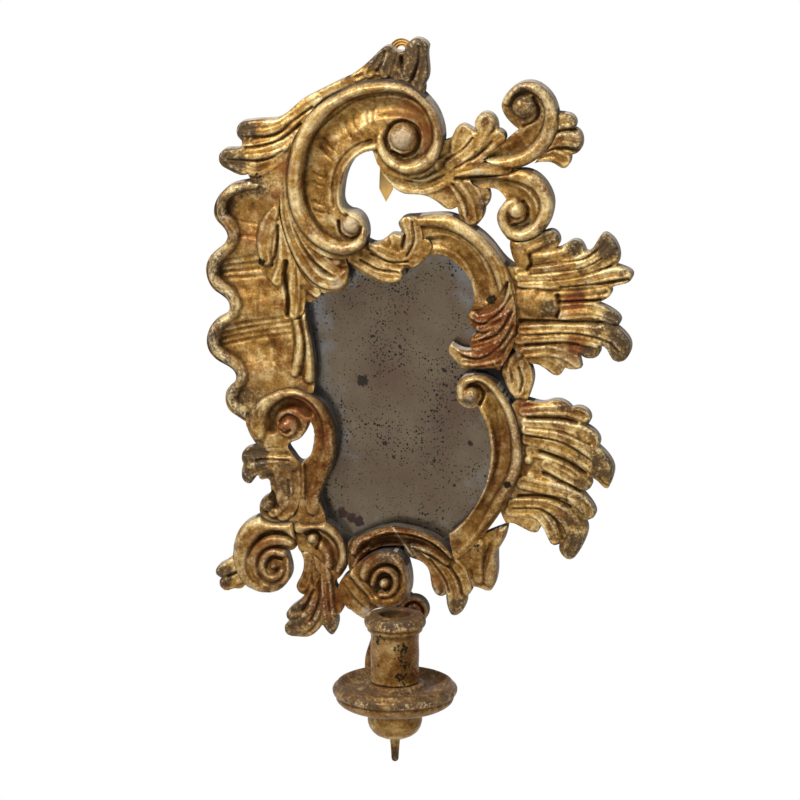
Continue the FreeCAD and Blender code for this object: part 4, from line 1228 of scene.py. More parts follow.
@dataclass
class Crowd:
    """Outlines of all the blocks and of the opening over the glass, for the grime where blocks meet and the painted
    shadow beside the glass.
    """

    rims: dict[str, np.ndarray]
    sight: np.ndarray
    cell: float = 2.4
    columns: int = 1000
    beside: float = 9.0

    def cells(self, points: np.ndarray) -> np.ndarray:
        """Numbered squares in which places lie.

        Args:
            points: Rows of x and z in mm.
        Returns:
            One number for each.
        """
        squares = np.floor(points / self.cell).astype(int) + self.columns // 2
        return squares[:, 0] * self.columns + squares[:, 1]

    def touched(self, node: str, flat: np.ndarray) -> np.ndarray:
        """Whether places lie beside another block.

        Args:
            node: The block that they belong to.
            flat: Rows of x and z in mm.
        Returns:
            One truth value for each.
        """
        others = np.unique(np.concatenate([self.cells(rim) for name, rim in self.rims.items() if name != node]))
        own = self.cells(flat)
        near = np.zeros(len(flat), bool)
        for column in (-self.columns, 0, self.columns):
            for row in (-1, 0, 1):
                near |= np.isin(own + column + row, others)
        return near

    def soil_and_shade(self, node: str, corners: np.ndarray) -> np.ndarray:
        """How dark places are painted: fully where two blocks meet, as grime, and beside the glass, as painted shadow.

        Args:
            node: The block that they belong to.
            corners: Rows of x, y and z in mm.
        Returns:
            Values from 0 to 1.
        """
        flat = corners[:, [0, 2]]
        # painted shadow in the gap beside the glass
        beside = distance(flat[:, 0], flat[:, 1], self.sight) < self.beside
        return (self.touched(node, flat) | beside).astype(float)


# The looking-glass


@dataclass
class LookingGlass(FlatCut):
    """The flat plate in its rebate, with the state of its silvering stored on it."""

    sight: np.ndarray
    thickness: float = 3.0
    border: float = 24.0

    def heights(self, x: np.ndarray, z: np.ndarray, inside: np.ndarray, away: np.ndarray) -> np.ndarray:
        """See FlatCut.heights; the plate is flat.

        Args:
            x: Places across in mm.
            z: Places upward in mm.
            inside: Whether each place is inside the outline.
            away: Distances to the outline.
        Returns:
            Heights in mm.
        """
        return np.full(x.shape, self.thickness)

    def build(self, material: bpy.types.Material) -> bpy.types.Object:
        """Make the plate and put it in place of its solid.

        Args:
            material: Its finish.
        Returns:
            The new piece.
        """
        form = self.form()
        pixels = pixels_of(form.corners)
        inward = distance(form.corners[:, 0], form.corners[:, 2], self.sight)
        upper = np.clip((form.corners[:, 2] - self.sight[:, 1].min()) / np.ptp(self.sight[:, 1]), 0.3, 1)
        form.marks = {"border": np.clip(1 - inward / self.border, 0, 1) * upper,
                      "peel": PEELED.at(pixels), "blot": BLOTTED.at(pixels)}
        return form.piece("silvered_plate", (material,) * 3, "mirror_frame", self.node, "looking_glass")


# Swept and turned pieces


def rings(sections: np.ndarray, closed: bool) -> list[list[int]]:
    """Faces between rows of points.

    Args:
        sections: Rows of points, one row for each section.
        closed: Whether each row closes on itself.
    Returns:
        The faces.
    """
    count, size = sections.shape[:2]
    sides = range(size if closed else size - 1)
    return [[row * size + side, row * size + (side + 1) % size,
             (row + 1) * size + (side + 1) % size, (row + 1) * size + side]
            for row in range(count - 1) for side in sides]


@dataclass
class CandleArm:
    """The arm: a block with a curl at its root, and a fluted limb that bends under the pan."""

    root: CarvedBlock
    bends: tuple[tuple[float, float, float], ...]
    depths: tuple[float, float]
    start: tuple[float, float]
    radii: tuple[float, float]
    below_top: float = 12.5
    upward: tuple[float, float, float] = (0.0, -0.6, 0.8)
    flutes: int = 5
    flute_depth: float = 0.1
    glaze_and_shade_share: float = 0.85
    soiled_and_shaded: float = 0.7
    sides: int = 60

    def limb(self) -> Form:
        """The limb, swept along its line.

        Returns:
            Its form.
        """
        low, high = (np.array(corner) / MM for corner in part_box("bottom_knop"))
        below = (low[2] + high[2]) / 2
        axis = (low[0] + high[0]) / 2
        bends = [(*VIEW.place([bend[:2]], bend[2])[0], -bend[2]) for bend in self.bends]
        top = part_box(self.root.node)[1][2] / MM
        points = [(self.start[0], -self.start[1], top - self.below_top)] + [(x, y, z) for x, z, y in bends]
        points += [(axis, -depth, below) for depth in self.depths]
        line = smooth_line(np.array(points), 1.2)
        along = np.gradient(line, axis=0)
        along /= np.linalg.norm(along, axis=1)[:, None]
        aside = np.cross(along, self.upward)
        aside /= np.linalg.norm(aside, axis=1)[:, None]
        over = np.cross(aside, along)
        angles = np.linspace(0, 2 * math.pi, self.sides, endpoint=False)
        share = np.linspace(0, 1, len(line))[:, None]
        ridge = np.abs(np.sin(self.flutes * angles / 2))[None]
        size = spread_along(self.radii, share) * (1 - self.flute_depth + self.flute_depth * ridge)
        size = size * (1 + 0.03 * lattice_noise(share * 60, np.repeat(angles[None] * 5, len(line), 0), 4.0, 17))
        round_about = np.cos(angles)[None, :, None] * aside[:, None] + np.sin(angles)[None, :, None] * over[:, None]
        places = line[:, None] + size[..., None] * round_about
        faces = rings(places, True)
        last = (len(line) - 1) * self.sides
        faces += [list(range(self.sides))[::-1], list(range(last, last + self.sides))]
        # flute troughs darkened: grime and painted shade
        darkened_share = np.repeat((1 - ridge) ** 2 * 0.8, len(line), 0).ravel()
        marks = {"hollow": darkened_share, "crest": np.repeat(ridge, len(line), 0).ravel() * 0.4}
        return Form(places.reshape(-1, 3), faces, [0] * len(faces), marks)

    def build(self, materials: Sequence[bpy.types.Material]) -> bpy.types.Object:
        """Make the arm and put it in place of its solid.

        Args:
            materials: Front, side and back finishes.
        Returns:
            The new piece.
        """
        form = self.root.form().joined(self.limb()).weathered_and_shaded()
        # the arm lies in shadow behind the pan: it is browned all over and its sides darkened, painted shade as well as
        # grime
        form.marks["glaze_and_shade"] = np.maximum(form.marks["glaze_and_shade"], self.glaze_and_shade_share)
        form.marks["joint_grime_and_shade"] = np.full(len(form.corners), self.soiled_and_shaded)
        return form.piece("carved_candle_arm", materials, "mirror_frame", self.root.node, "gilt_wood")


@dataclass
class TurnedPiece:
    """A piece turned on a lathe, from a profile of radius and height in mm over its foot.

    Worn is how far the gilding has gone, as heights and strengths, and the browning share how far it is browned by
    varnish and painted shade.
    """

    node: str
    body: str
    profile: tuple[Pixel, ...]
    worn: tuple[Pixel, ...] = ((0, 0),)
    glaze_and_shade_share: float = 0.3
    slot: str = "gilt_wood"
    wobble: float = 0.25
    segments: int = 144
    step: float = 0.6

    def build(self, material: bpy.types.Material) -> bpy.types.Object:
        """Make the piece and put it in place of its solid.

        Args:
            material: Its finish.
        Returns:
            The new piece.
        """
        low, high = (np.array(corner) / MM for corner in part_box(self.node))
        corners = np.array(self.profile, float)
        rows = [corners[:1]]
        for start, end in zip(corners, corners[1:]):
            count = max(1, int(np.linalg.norm(end - start) / self.step))
            rows.append(start + (end - start) * (np.arange(1, count + 1) / count)[:, None])
        line = np.vstack(rows)
        line[1:-1] = line[1:-1] * 0.5 + (line[:-2] + line[2:]) * 0.25
        radius, height = line[:, :1], line[:, 1:]
        angles = np.linspace(0, 2 * math.pi, self.segments, endpoint=False)[None]
        uneven = lattice_noise(20 + 18 * np.cos(angles) + 0 * radius, 20 + 18 * np.sin(angles) + height, 5.0, 11)
        wide = radius + self.wobble * uneven * (radius > 6)
        middle = (low + high) / 2
        places = np.stack([middle[0] + wide * np.cos(angles), middle[1] + wide * np.sin(angles),
                           low[2] + height + 0 * wide], -1)
        reach = 6
        brush = np.ones(2 * reach + 1) / (2 * reach + 1)
        level = np.convolve(np.pad(radius[:, 0], reach, mode="edge"), brush, "same")[reach:-reach]
        # grooves of the profile darkened, grime and painted shade; ridges marked as crests
        sunk, proud = np.clip((level - radius[:, 0]) / 1.4, 0, 1), np.clip((radius[:, 0] - level) / 1.2, 0, 1)
        steps, strengths = zip(*self.worn)
        gone = np.interp(height[:, 0], steps, strengths)
        marks = {name: np.repeat(values, self.segments) for name, values in
                 {"hollow": sunk * 0.8, "crest": proud, "worn": gone, "glaze_and_shade": np.full(len(line), self.glaze_and_shade_share)}.items()}
        faces = rings(places, True)
        form = Form(places.reshape(-1, 3), faces, [0] * len(faces), marks).weathered_and_shaded()
        return form.piece("turned_" + self.node, (material,), self.body, self.node, self.slot)


@dataclass
class HangingRibbon:
    """A satin ribbon: a gathered loop for the nail and a flat tail cut to a point.

    It gathers over a share of the tail's length. Fold is the depth of the pleats, flat and what gathering adds, and
    wave the depth and length of the tail's slow bends.
    """

    node: str
    width: float
    gathered: float
    tip: float
    tail: tuple[Pixel, ...]
    loop: tuple[Pixel, ...]
    depths: tuple[float, ...]
    across: int = 37
    pleats: int = 3
    gathers_at: float = 0.35
    gathers_over: float = 0.5
    fold: tuple[float, float] = (0.12, 0.72)
    wave: tuple[float, float] = (0.35, 14.0)

    def build(self, material: bpy.types.Material) -> bpy.types.Object:
        """Make the ribbon and put it in place of its solid.

        Args:
            material: Its finish.
        Returns:
            The new piece.
        """
        flat = VIEW.place(self.tail + self.loop, VIEW.ribbon_depth_mm)
        line = smooth_line(flat, 0.8)
        lengths = np.concatenate([[0], np.cumsum(np.linalg.norm(np.diff(line, axis=0), axis=1))])
        along = np.gradient(line, axis=0)
        along /= np.linalg.norm(along, axis=1)[:, None]
        aside = np.column_stack([along[:, 1], -along[:, 0]])
        tail = np.linalg.norm(np.diff(VIEW.place(self.tail, VIEW.ribbon_depth_mm), axis=0), axis=1).sum()
        gather = eased(np.clip((lengths / tail - self.gathers_at) / self.gathers_over, 0, 1))
        half = (self.width * (1 - gather) + self.gathered * gather) / 2
        half = half * np.clip(lengths / self.tip, 0.02, 1)
        share = np.linspace(-1, 1, self.across)[None]
        deep = self.fold[0] + self.fold[1] * gather[:, None]
        fold = deep * np.cos(self.pleats * math.pi * share + 0.02 * lengths[:, None])
        fold = fold * np.clip(lengths / self.tip, 0.1, 1)[:, None]
        fold = fold + self.wave[0] * (1 - gather[:, None]) * np.sin(lengths[:, None] / self.wave[1])
        depth = spread_along(self.depths, lengths / lengths[-1])[:, None] + fold
        x = line[:, :1] + aside[:, :1] * half[:, None] * share
        z = line[:, 1:] + aside[:, 1:] * half[:, None] * share
        places = np.stack([x, -depth, z], -1)
        form = Form(places.reshape(-1, 3), rings(places, False), [], {})
        form.finishes = [0] * len(form.faces)
        made = form.piece("satin_ribbon", (material,), "mirror_frame", self.node, "satin_ribbon")
        return made


# The parts of this mirror

SCROLL, MOULDING, LEAF, SHELL = 27.0, 19.0, 17.0, 18.0

BLOCKS = (
    CarvedBlock("crest_scroll", SCROLL, 0.64, 0.46, 4.5, (
        dish((8, 13, 16, 17, 17, 15, 13, 11, 9, 8, 7), (0.52, 0.48, 0.44, 0.44, 0.44, 0.44, 0.45, 0.46, 0.48),
             (338, 238), (322, 222), (316, 200), (316, 175), (322, 150), (336, 130), (355, 114), (378, 106),
             (400, 106), (417, 114), (425, 130), (424, 146), (414, 157), (402, 160), (392, 156)),
        roll((8, 8.5, 8.5, 8.5, 8, 7, 5.5), (1, 1, 1, 1, 0.97, 0.92, 0.86), (385, 86), (360, 89.5), (340, 97),
             (322, 110), (308, 128), (298, 150), (293.5, 175), (293.5, 195), (298, 215), (308, 232), (322, 244),
             (338, 250), (352, 248), (361, 240), (364, 229), (360, 219), (352, 215)),
        roll((8, 8, 8, 8, 7.5, 7, 6, 5, 3), (1, 1, 1, 1, 0.97, 0.93, 0.88, 0.78, 0.6), (385, 86), (405, 88.5),
             (420, 97), (431, 110), (438, 127), (438, 145), (431, 158), (419, 167), (405, 170), (392, 165),
             (383, 156), (379, 144), (381, 132), (389, 124)),
        groove(1.3, 0.07, (391, 95), (359, 100), (333, 117), (313, 137), (304, 163), (303, 190), (311, 216),
               (327, 238), (344, 244)),
        groove(1.3, 0.07, (391, 95), (410, 99), (423, 111), (430, 127), (430, 145), (423, 158), (410, 163),
               (396, 160)), groove(1.0, 0.04, (372, 81), (346, 89), (324, 102), (307, 121), (296, 142), (288, 168)),
        roll(4.2, 0.8, (374, 147), (362, 151), (350, 161), (342, 174), (339, 189), (339, 203), (343, 212)),
        groove(1.5, 0.08, (371, 141), (356, 146), (343, 157), (335, 172), (332, 189), (333, 208)),
        groove(2.6, 0.2, (388, 150), (385, 138), (391, 126), (402, 122), (414, 128), (418, 140), (413, 152),
               (402, 157), (391, 153)), eye(15, 0.95, (401, 140)),
        groove(1.4, 0.05, (392, 133), (400, 129), (409, 134)), groove(1.2, 0.04, (396, 149), (405, 150)),
        groove(2.0, 0.16, (338, 222), (340, 234), (350, 240), (359, 235), (362, 227)), eye(11.5, 0.9, (350, 226)),
        groove(1.2, 0.05, (344, 222), (350, 219), (356, 224)), groove(1.3, 0.05, (322, 139), (327, 147), (336, 153)),
        groove(1.3, 0.05, (319, 148), (324, 156), (332, 161)), groove(1.3, 0.045, (344, 123), (345, 131), (350, 137)),
        groove(1.2, 0.04, (352, 117), (352, 125), (356, 130)), groove(1.2, 0.03, (372, 110), (371, 118), (374, 124)),
        groove(1.2, 0.03, (366, 112), (365, 120), (368, 126)), groove(1.3, 0.05, (312, 174), (318, 178), (325, 178)),
        groove(1.3, 0.05, (312, 183), (317, 187), (323, 187)), groove(1.3, 0.05, (312, 202), (318, 206), (324, 206)),
        groove(1.3, 0.05, (312, 211), (319, 214), (328, 214)))),
    CarvedBlock("branch_upper_scroll", LEAF, 0.58, 0.45, 3.5, (
        dish((4, 8, 10, 9, 6), 0.36, (486, 157), (510, 152), (528, 140), (538, 124), (538, 110)),
        roll((5, 7, 7.5, 8, 8, 7.5, 7, 6, 5), (0.75, 0.8, 0.85, 0.9, 0.95, 1, 1, 0.95, 0.9), (478, 164), (500, 165),
             (522, 160), (538, 149), (548, 134), (551, 117), (547, 101), (537, 90), (524, 86), (512, 91), (506, 102)),
        groove(1.2, 0.07, (541, 100), (545, 115), (540, 132), (527, 149), (505, 159)),
        groove(1.8, 0.2, (533, 98), (538, 110), (534, 121), (523, 127)), eye(13.5, 0.95, (522, 108)),
        groove(1.4, 0.08, (514, 104), (520, 98), (529, 102)))),
    CarvedBlock("branch_lower_scroll", LEAF, 0.58, 0.45, 3.5, (
        dish((4, 8, 10, 9, 8, 7, 6, 4), 0.34, (468, 182), (490, 183), (508, 188), (522, 195), (531, 206), (530, 219),
             (521, 227), (513, 227)),
        roll((6, 6.5, 7, 7.5, 7.5, 7, 6.5, 6, 5.5, 5), (0.8, 0.85, 0.9, 0.95, 1, 1, 0.95, 0.9, 0.85, 0.8), (470, 173),
             (490, 173), (508, 175), (525, 179), (539, 188), (546, 204), (543, 220), (533, 232), (518, 237),
             (506, 231), (502, 219), (505, 208), (513, 203)),
        groove(1.2, 0.08, (505, 181), (522, 187), (534, 196), (538, 210), (534, 222)),
        groove(1.8, 0.22, (522, 203), (527, 212), (523, 222), (513, 226)), eye(9.5, 0.95, (515, 212)))),
    CarvedBlock("right_sight_scroll", MOULDING, 0.62, 0.42, 3.5, (
        dish((6, 10, 12, 12, 11, 11, 10, 8), (0.42, 0.38, 0.36, 0.38, 0.42, 0.48, 0.5), (488, 392), (499, 418),
             (503, 445), (501, 468), (494, 490), (482, 512), (466, 534), (456, 548)),
        roll((5, 6, 6.5, 7, 7, 6.5, 6, 6, 5.5, 4.5, 4, 4), (0.95, 1, 1, 1, 1, 0.95, 0.95, 0.9, 0.8, 0.7, 0.65),
             (461, 398), (461, 388), (468, 380), (479, 378), (491, 385), (502, 398), (511, 416), (516, 440),
             (516, 462), (510, 482), (500, 500), (487, 520), (472, 540), (460, 552)),
        roll(3.4, 0.68, (481, 408), (488, 425), (492, 445), (491, 466), (486, 484), (476, 503), (462, 521),
             (452, 533)), groove(1.2, 0.07, (500, 406), (508, 425), (510, 450), (508, 472), (500, 488)),
        groove(0.9, 0.1, (518, 480), (510, 490), (503, 502)),
        groove(1.2, 0.05, (495, 412), (499, 440), (496, 466), (486, 490)),
        groove(1.8, 0.22, (470, 385), (479, 388), (483, 397), (479, 405)), eye(9.5, 1.0, (469, 396)))),
    CarvedBlock("leaf_bud", LEAF, 0.56, 0.42, 3.5, (
        lobe(6, 0.9, (516, 364), (513, 378), (515, 392)), lobe(5, 0.8, (524, 364), (528, 380), (524, 394)),
        lobe(3.5, 0.7, (508, 372), (512, 386)), eye(5, 0.85, (518, 357)),
        groove(1.5, 0.2, (519, 368), (522, 382), (520, 392)), groove(1.2, 0.12, (510, 368), (513, 382)))),
    CarvedBlock("sight_acanthus", MOULDING, 0.56, 0.42, 3.0, (
        lobe((3, 4, 4.5, 4, 3), 0.95, (512, 282), (508, 305), (496, 316), (480, 320), (472, 317)),
        lobe((3, 3.5, 3, 2.5), 0.85, (514, 290), (503, 318), (487, 328), (478, 330)),
        lobe((3, 4, 4, 3), 0.9, (514, 300), (505, 325), (490, 338), (475, 344), (471, 343)),
        lobe((3, 4, 4.5, 4, 3), 0.92, (515, 316), (506, 338), (490, 350), (470, 354), (455, 347)),
        lobe((3, 3.5, 3.5, 3), 0.8, (515, 328), (506, 350), (495, 359), (478, 363), (463, 363)),
        lobe(3, 0.85, (516, 336), (509, 350), (503, 364)), lobe(2.6, 0.78, (509, 345), (500, 356), (497, 365)),
        groove(1.2, 0.15, (511, 296), (500, 312), (484, 324)), groove(1.2, 0.15, (512, 312), (498, 334), (480, 341)),
        groove(1.2, 0.15, (513, 326), (500, 346), (480, 359), (462, 357)),
        groove(1.0, 0.12, (514, 336), (505, 350), (500, 364)))),
    CarvedBlock("top_leaf", MOULDING, 0.56, 0.42, 3.2, (
        lobe(4.5, 0.85, (352, 259), (366, 268), (384, 277), (400, 277)),
        lobe(4, 0.78, (360, 253), (380, 263), (398, 268)),
        lobe((4, 5, 5, 4), 0.92, (372, 247), (388, 256), (405, 260), (420, 255), (428, 246)),
        lobe(5, 0.95, (405, 221), (410, 235), (409, 249), (400, 259)),
        lobe(4, 0.9, (415, 220), (418, 238), (413, 253)),
        lobe(3.4, 0.9, (427, 242), (429, 250), (422, 260), (412, 265)),
        lobe(5, 0.78, (395, 237), (397, 247), (390, 256)), groove(1.4, 0.18, (360, 260), (378, 270), (398, 273)),
        groove(1.4, 0.18, (370, 254), (388, 262), (408, 262)), groove(1.3, 0.2, (412, 222), (414, 240), (407, 256)),
        groove(2.4, 0.25, (404, 236), (402, 248)))),
    CarvedBlock("corner_volute", MOULDING, 0.6, 0.42, 3.5, (
        roll((9, 9.5, 10, 10, 9.5, 9, 8, 7), (0.95, 1, 1, 1, 0.97, 0.93, 0.88, 0.84), (296, 534), (285, 526),
             (269, 524), (255, 529), (246, 540), (241, 554), (242, 569), (249, 581), (261, 588), (275, 588)),
        roll((5, 6.5, 7, 7, 6.5, 6, 5.5), (0.86, 0.86, 0.84, 0.82, 0.8, 0.8, 0.82), (290, 544), (279, 541),
             (266, 543), (256, 552), (253, 565), (257, 577), (266, 584), (277, 584), (286, 577), (289, 567)),
        roll((4, 5, 5, 4.5), 0.82, (283, 555), (272, 553), (264, 558), (262, 568), (267, 576), (275, 578),
             (281, 573)),
        groove(1.5, 0.1, (291, 538), (281, 534), (268, 534), (257, 540), (250, 550), (247, 563), (251, 577),
               (260, 585)),
        groove(1.5, 0.12, (287, 550), (276, 547), (264, 550), (258, 560), (258, 571), (264, 580), (274, 583),
               (283, 577), (286, 568)),
        groove(1.5, 0.14, (281, 560), (272, 558), (266, 565), (268, 573), (275, 574), (278, 569)),
        eye(4.5, 0.8, (273, 567)))),
    CarvedBlock("left_sight_scroll", MOULDING, 0.62, 0.42, 3.2, (
        dish((6, 7, 8, 7, 6), 0.34, (273, 428), (275, 411), (285, 403), (298, 403), (309, 411)),
        roll((9, 9, 8, 7, 6.5, 6.5, 7, 7.5, 7.5, 8, 8, 8), (0.85, 0.9, 0.95, 1, 1, 1, 0.95, 0.9, 0.85, 0.8, 0.78),
             (257, 434), (257, 416), (266, 402), (280, 394), (296, 392), (311, 399), (322, 412), (328, 430),
             (328, 450), (322, 470), (314, 490), (312, 510)),
        groove(1.2, 0.07, (268, 414), (277, 404), (290, 400), (305, 405), (315, 418), (320, 435)),
        roll(2.2, 0.8, (302, 464), (303, 480), (303, 497)), eye(13, 0.84, (287, 429)),
        groove(2, 0.16, (279, 423), (287, 416), (297, 421), (300, 430)),
        groove(2, 0.16, (280, 430), (285, 433), (290, 430)))),
    CarvedBlock("corner_small_scroll", MOULDING, 0.56, 0.42, 3.2, (
        dish((5, 6, 6, 5), 0.42, (316, 535), (326, 543), (333, 555), (334, 566)),
        roll((6, 7, 8, 7.5, 6.5, 5.5, 4), (0.95, 1, 1, 0.95, 0.9, 0.85, 0.75), (298, 530), (310, 525), (324, 526),
             (335, 534), (342, 546), (343, 560), (338, 571)),
        groove(1.3, 0.08, (318, 531), (328, 537), (335, 547), (337, 560)),
        strand(3.5, 0.7, (318, 545), (326, 553), (328, 566)),
        groove(2.0, 0.2, (305, 534), (315, 533), (319, 540), (316, 549)), eye(6.5, 0.88, (311, 540)),
        groove(1.2, 0.08, (307, 539), (312, 536), (315, 541)))),
    CarvedBlock("apron_scroll", SCROLL, 0.56, 0.36, 4.0, (
        roll((6.5, 7.5, 7.5, 7.5, 7), (0.8, 0.9, 0.95, 0.95, 0.92, 0.86, 0.78), (364, 577), (369, 566), (382, 559),
             (396, 562), (405, 573), (406, 587), (399, 599), (386, 604), (373, 600)),
        roll((4, 5, 5, 4.5), 0.84, (372, 585), (375, 575), (384, 570), (393, 575), (396, 586), (390, 595),
             (380, 596)),
        groove(1.4, 0.05, (369, 588), (371, 576), (380, 567), (392, 568), (400, 577), (400, 589), (393, 598)),
        groove(1.3, 0.045, (376, 589), (379, 580), (386, 577), (391, 583), (389, 591), (382, 593)),
        strand(4, 0.66, (352, 575), (360, 583), (370, 594), (380, 604)),
        strand(4, 0.6, (345, 582), (355, 595), (368, 606)), strand(3, 0.55, (341, 588), (352, 603), (366, 614)),
        groove(1.3, 0.07, (350, 579), (358, 590), (370, 601)), groove(1.2, 0.06, (343, 585), (354, 600), (366, 611)),
        groove(1.2, 0.06, (357, 576), (364, 586), (373, 597)), eye(7, 0.84, (383, 585)),
        groove(1.2, 0.03, (379, 584), (383, 581), (387, 585)))),
    CarvedBlock("bottom_arch", MOULDING, 0.5, 0.38, 3.0, (
        roll((5, 6, 6.5, 6, 5.5, 5), 1.0, (353, 553), (358, 543), (371, 536), (388, 530), (408, 531), (425, 536),
             (440, 545), (452, 557)),
        dish((4, 5, 5, 4), 0.36, (366, 550), (380, 542), (400, 540), (420, 544), (436, 553), (448, 563)),
        groove(1.2, 0.12, (362, 547), (376, 539), (390, 535), (408, 536), (426, 542), (442, 552)),
        strand((2.5, 3, 3), 0.72, (412, 547), (430, 553), (446, 564)),
        strand(3, 0.7, (354, 566), (359, 556), (367, 549)), strand(4, 0.6, (374, 551), (386, 547), (399, 550)))),
    CarvedBlock("shell_leaf", SHELL, 0.56, 0.42, 3.0, (
        lobe((4, 6, 6, 4), 0.95, (273, 212), (266, 230), (263, 248), (265, 262)),
        lobe(3, 0.85, (277, 220), (272, 240), (269, 262)),
        lobe((3, 5, 5, 4), 0.9, (280, 225), (284, 245), (283, 265), (276, 282)),
        lobe((3, 5, 5, 4.5), 1.0, (283, 228), (291, 252), (294, 275), (293, 300), (292, 315)),
        lobe(4, 0.85, (297, 262), (300, 285), (299, 312)), lobe(4.5, 0.9, (303, 276), (310, 288), (317, 294)),
        groove(1.5, 0.2, (278, 226), (276, 248), (271, 266)),
        groove(2.8, 0.35, (286, 262), (284, 280), (288, 300), (287, 316)),
        groove(1.2, 0.12, (296, 268), (298, 300)))),
    CarvedBlock("crest_foot_leaf", MOULDING, 0.56, 0.42, 3.2, (
        lobe((3, 4, 4.5, 5, 5, 5, 4.5), (0.7, 0.75, 0.8, 0.85, 0.9, 0.95, 0.95), (284, 195), (286, 220), (294, 245),
             (305, 265), (318, 280), (334, 285), (344, 277)),
        lobe((4, 5, 5.5, 5, 4), (0.75, 0.8, 0.85, 0.85, 0.8), (290, 205), (298, 228), (310, 248), (322, 262),
             (335, 272)), lobe(4.5, 0.75, (300, 225), (314, 243), (330, 256), (342, 262)),
        groove(1.4, 0.15, (288, 208), (297, 236), (311, 259), (327, 274)),
        groove(1.4, 0.12, (296, 222), (310, 242), (324, 255)), eye(7, 0.8, (336, 262)))),
    CarvedBlock("top_sight_scroll", MOULDING, 0.62, 0.42, 3.2, (
        dish((5, 7, 8, 9, 9, 7), 0.46, (430, 240), (447, 240), (462, 248), (474, 261), (482, 277), (486, 296)),
        roll((6, 7, 8, 8.5, 8.5, 8, 7, 6, 6), (0.85, 0.95, 1, 1, 1, 1, 0.95, 0.9, 0.85), (415, 222), (430, 222),
             (448, 224), (463, 231), (478, 242), (490, 256), (498, 272), (503, 290), (505, 308)),
        roll(3.2, 0.66, (430, 249), (446, 250), (459, 258), (468, 270), (473, 284), (474, 298)),
        roll(2.6, 0.85, (499, 256), (505, 270), (508, 286)), groove(1.2, 0.08, (494, 256), (501, 272), (504, 290)),
        groove(1.2, 0.06, (432, 232), (450, 235), (466, 245), (479, 259), (488, 278)))),
    CarvedBlock("crest_leaf", LEAF, 0.56, 0.42, 3.2, (
        lobe(4.5, 0.85, (424, 48), (424, 62), (420, 78), (416, 88)),
        lobe(4.5, 0.95, (415, 44), (413, 58), (407, 72), (402, 82)), lobe(4, 0.8, (404, 53), (400, 64), (396, 76)),
        lobe(4, 0.85, (391, 50), (388, 62), (384, 74)), lobe(4, 0.78, (381, 54), (375, 64), (368, 74)),
        lobe(3.5, 0.7, (371, 62), (364, 70), (356, 77)), lobe(3, 0.75, (354, 79), (372, 72), (395, 74), (408, 80)),
        groove(1.8, 0.25, (401, 58), (402, 72)), groove(1.3, 0.18, (419, 46), (418, 62), (412, 80)),
        groove(1.3, 0.15, (385, 52), (381, 64), (376, 72)))),
    CarvedBlock("crest_side_leaf", LEAF, 0.56, 0.42, 3.4, (
        lobe((3, 4, 5, 6, 7, 8, 6), (0.6, 0.65, 0.7, 0.75, 0.85, 0.9, 0.8), (345, 82), (322, 92), (303, 103),
             (288, 115), (272, 124), (254, 127), (244, 129)),
        lobe((3, 4, 4, 3), 0.72, (318, 99), (300, 112), (286, 127), (270, 137), (252, 142)),
        lobe((4, 6, 6, 6, 5), (0.7, 0.8, 0.9, 0.95, 0.9), (292, 135), (278, 147), (258, 152), (238, 154), (226, 157)),
        lobe((4, 5, 5, 6, 5), (0.6, 0.7, 0.75, 0.85, 0.8), (288, 150), (272, 162), (258, 170), (246, 168),
             (232, 163)), lobe(4, 0.6, (284, 160), (268, 174), (257, 178)),
        groove(1.5, 0.15, (312, 108), (292, 122), (276, 134), (253, 139)),
        groove(1.8, 0.22, (300, 125), (280, 140), (262, 146), (246, 148)),
        groove(1.4, 0.15, (282, 152), (262, 161), (240, 160), (228, 160)),
        groove(2.4, 0.2, (352, 88), (322, 104), (304, 128), (291, 160), (286, 190)))),
    CarvedBlock("branch_stem", LEAF, 0.56, 0.42, 3.4, (
        lobe((5, 6, 6, 7, 8, 7, 5), (0.75, 0.8, 0.8, 0.85, 0.95, 0.9, 0.8), (384, 172), (400, 184), (420, 188),
             (440, 181), (458, 171), (480, 167), (505, 170)),
        lobe(5, 0.8, (440, 166), (454, 158), (458, 143), (463, 130)),
        lobe((5, 6, 6.5, 6), 0.95, (450, 166), (468, 152), (480, 135), (487, 119)),
        lobe(5, 0.85, (462, 164), (482, 150), (499, 137)),
        lobe((4, 5, 5.5, 5), 0.85, (446, 178), (458, 190), (466, 205), (470, 220)),
        lobe(4.5, 0.75, (455, 178), (472, 192), (478, 208), (478, 217)),
        lobe(4, 0.5, (462, 178), (484, 190), (487, 200)), lobe(6, 0.7, (430, 191), (444, 196), (452, 203)),
        groove(1.5, 0.18, (446, 160), (462, 150), (473, 138)), groove(1.4, 0.15, (455, 168), (478, 155), (492, 142)),
        groove(3, 0.25, (456, 179), (476, 178), (500, 180)), groove(1.3, 0.15, (452, 184), (464, 200), (468, 216)),
        groove(1.3, 0.12, (404, 180), (424, 183), (444, 175)))),
    CarvedBlock("branch_tip_leaf", LEAF, 0.56, 0.42, 3.2, (
        lobe(5, 0.85, (545, 135), (558, 124), (572, 121)), lobe(5.5, 0.95, (545, 148), (562, 140), (578, 142)),
        lobe(4.5, 0.8, (540, 157), (554, 156), (566, 162)), groove(1.6, 0.25, (554, 132), (568, 131), (576, 130)),
        groove(1.6, 0.22, (546, 152), (560, 148), (576, 152)))),
    CarvedBlock("left_spur", LEAF, 0.56, 0.42, 3.2, (
        lobe(6, 0.75, (290, 455), (270, 455), (250, 453)), lobe(6, 0.85, (290, 465), (270, 467), (250, 473)),
        lobe(4, 0.7, (270, 470), (265, 476)),
        lobe((6, 6, 5, 4), 0.85, (280, 472), (284, 490), (280, 505), (272, 514)),
        lobe(5, 0.8, (293, 472), (295, 490), (290, 508), (282, 516)), hollow(4, 0.3, (272, 492), (276, 504)),
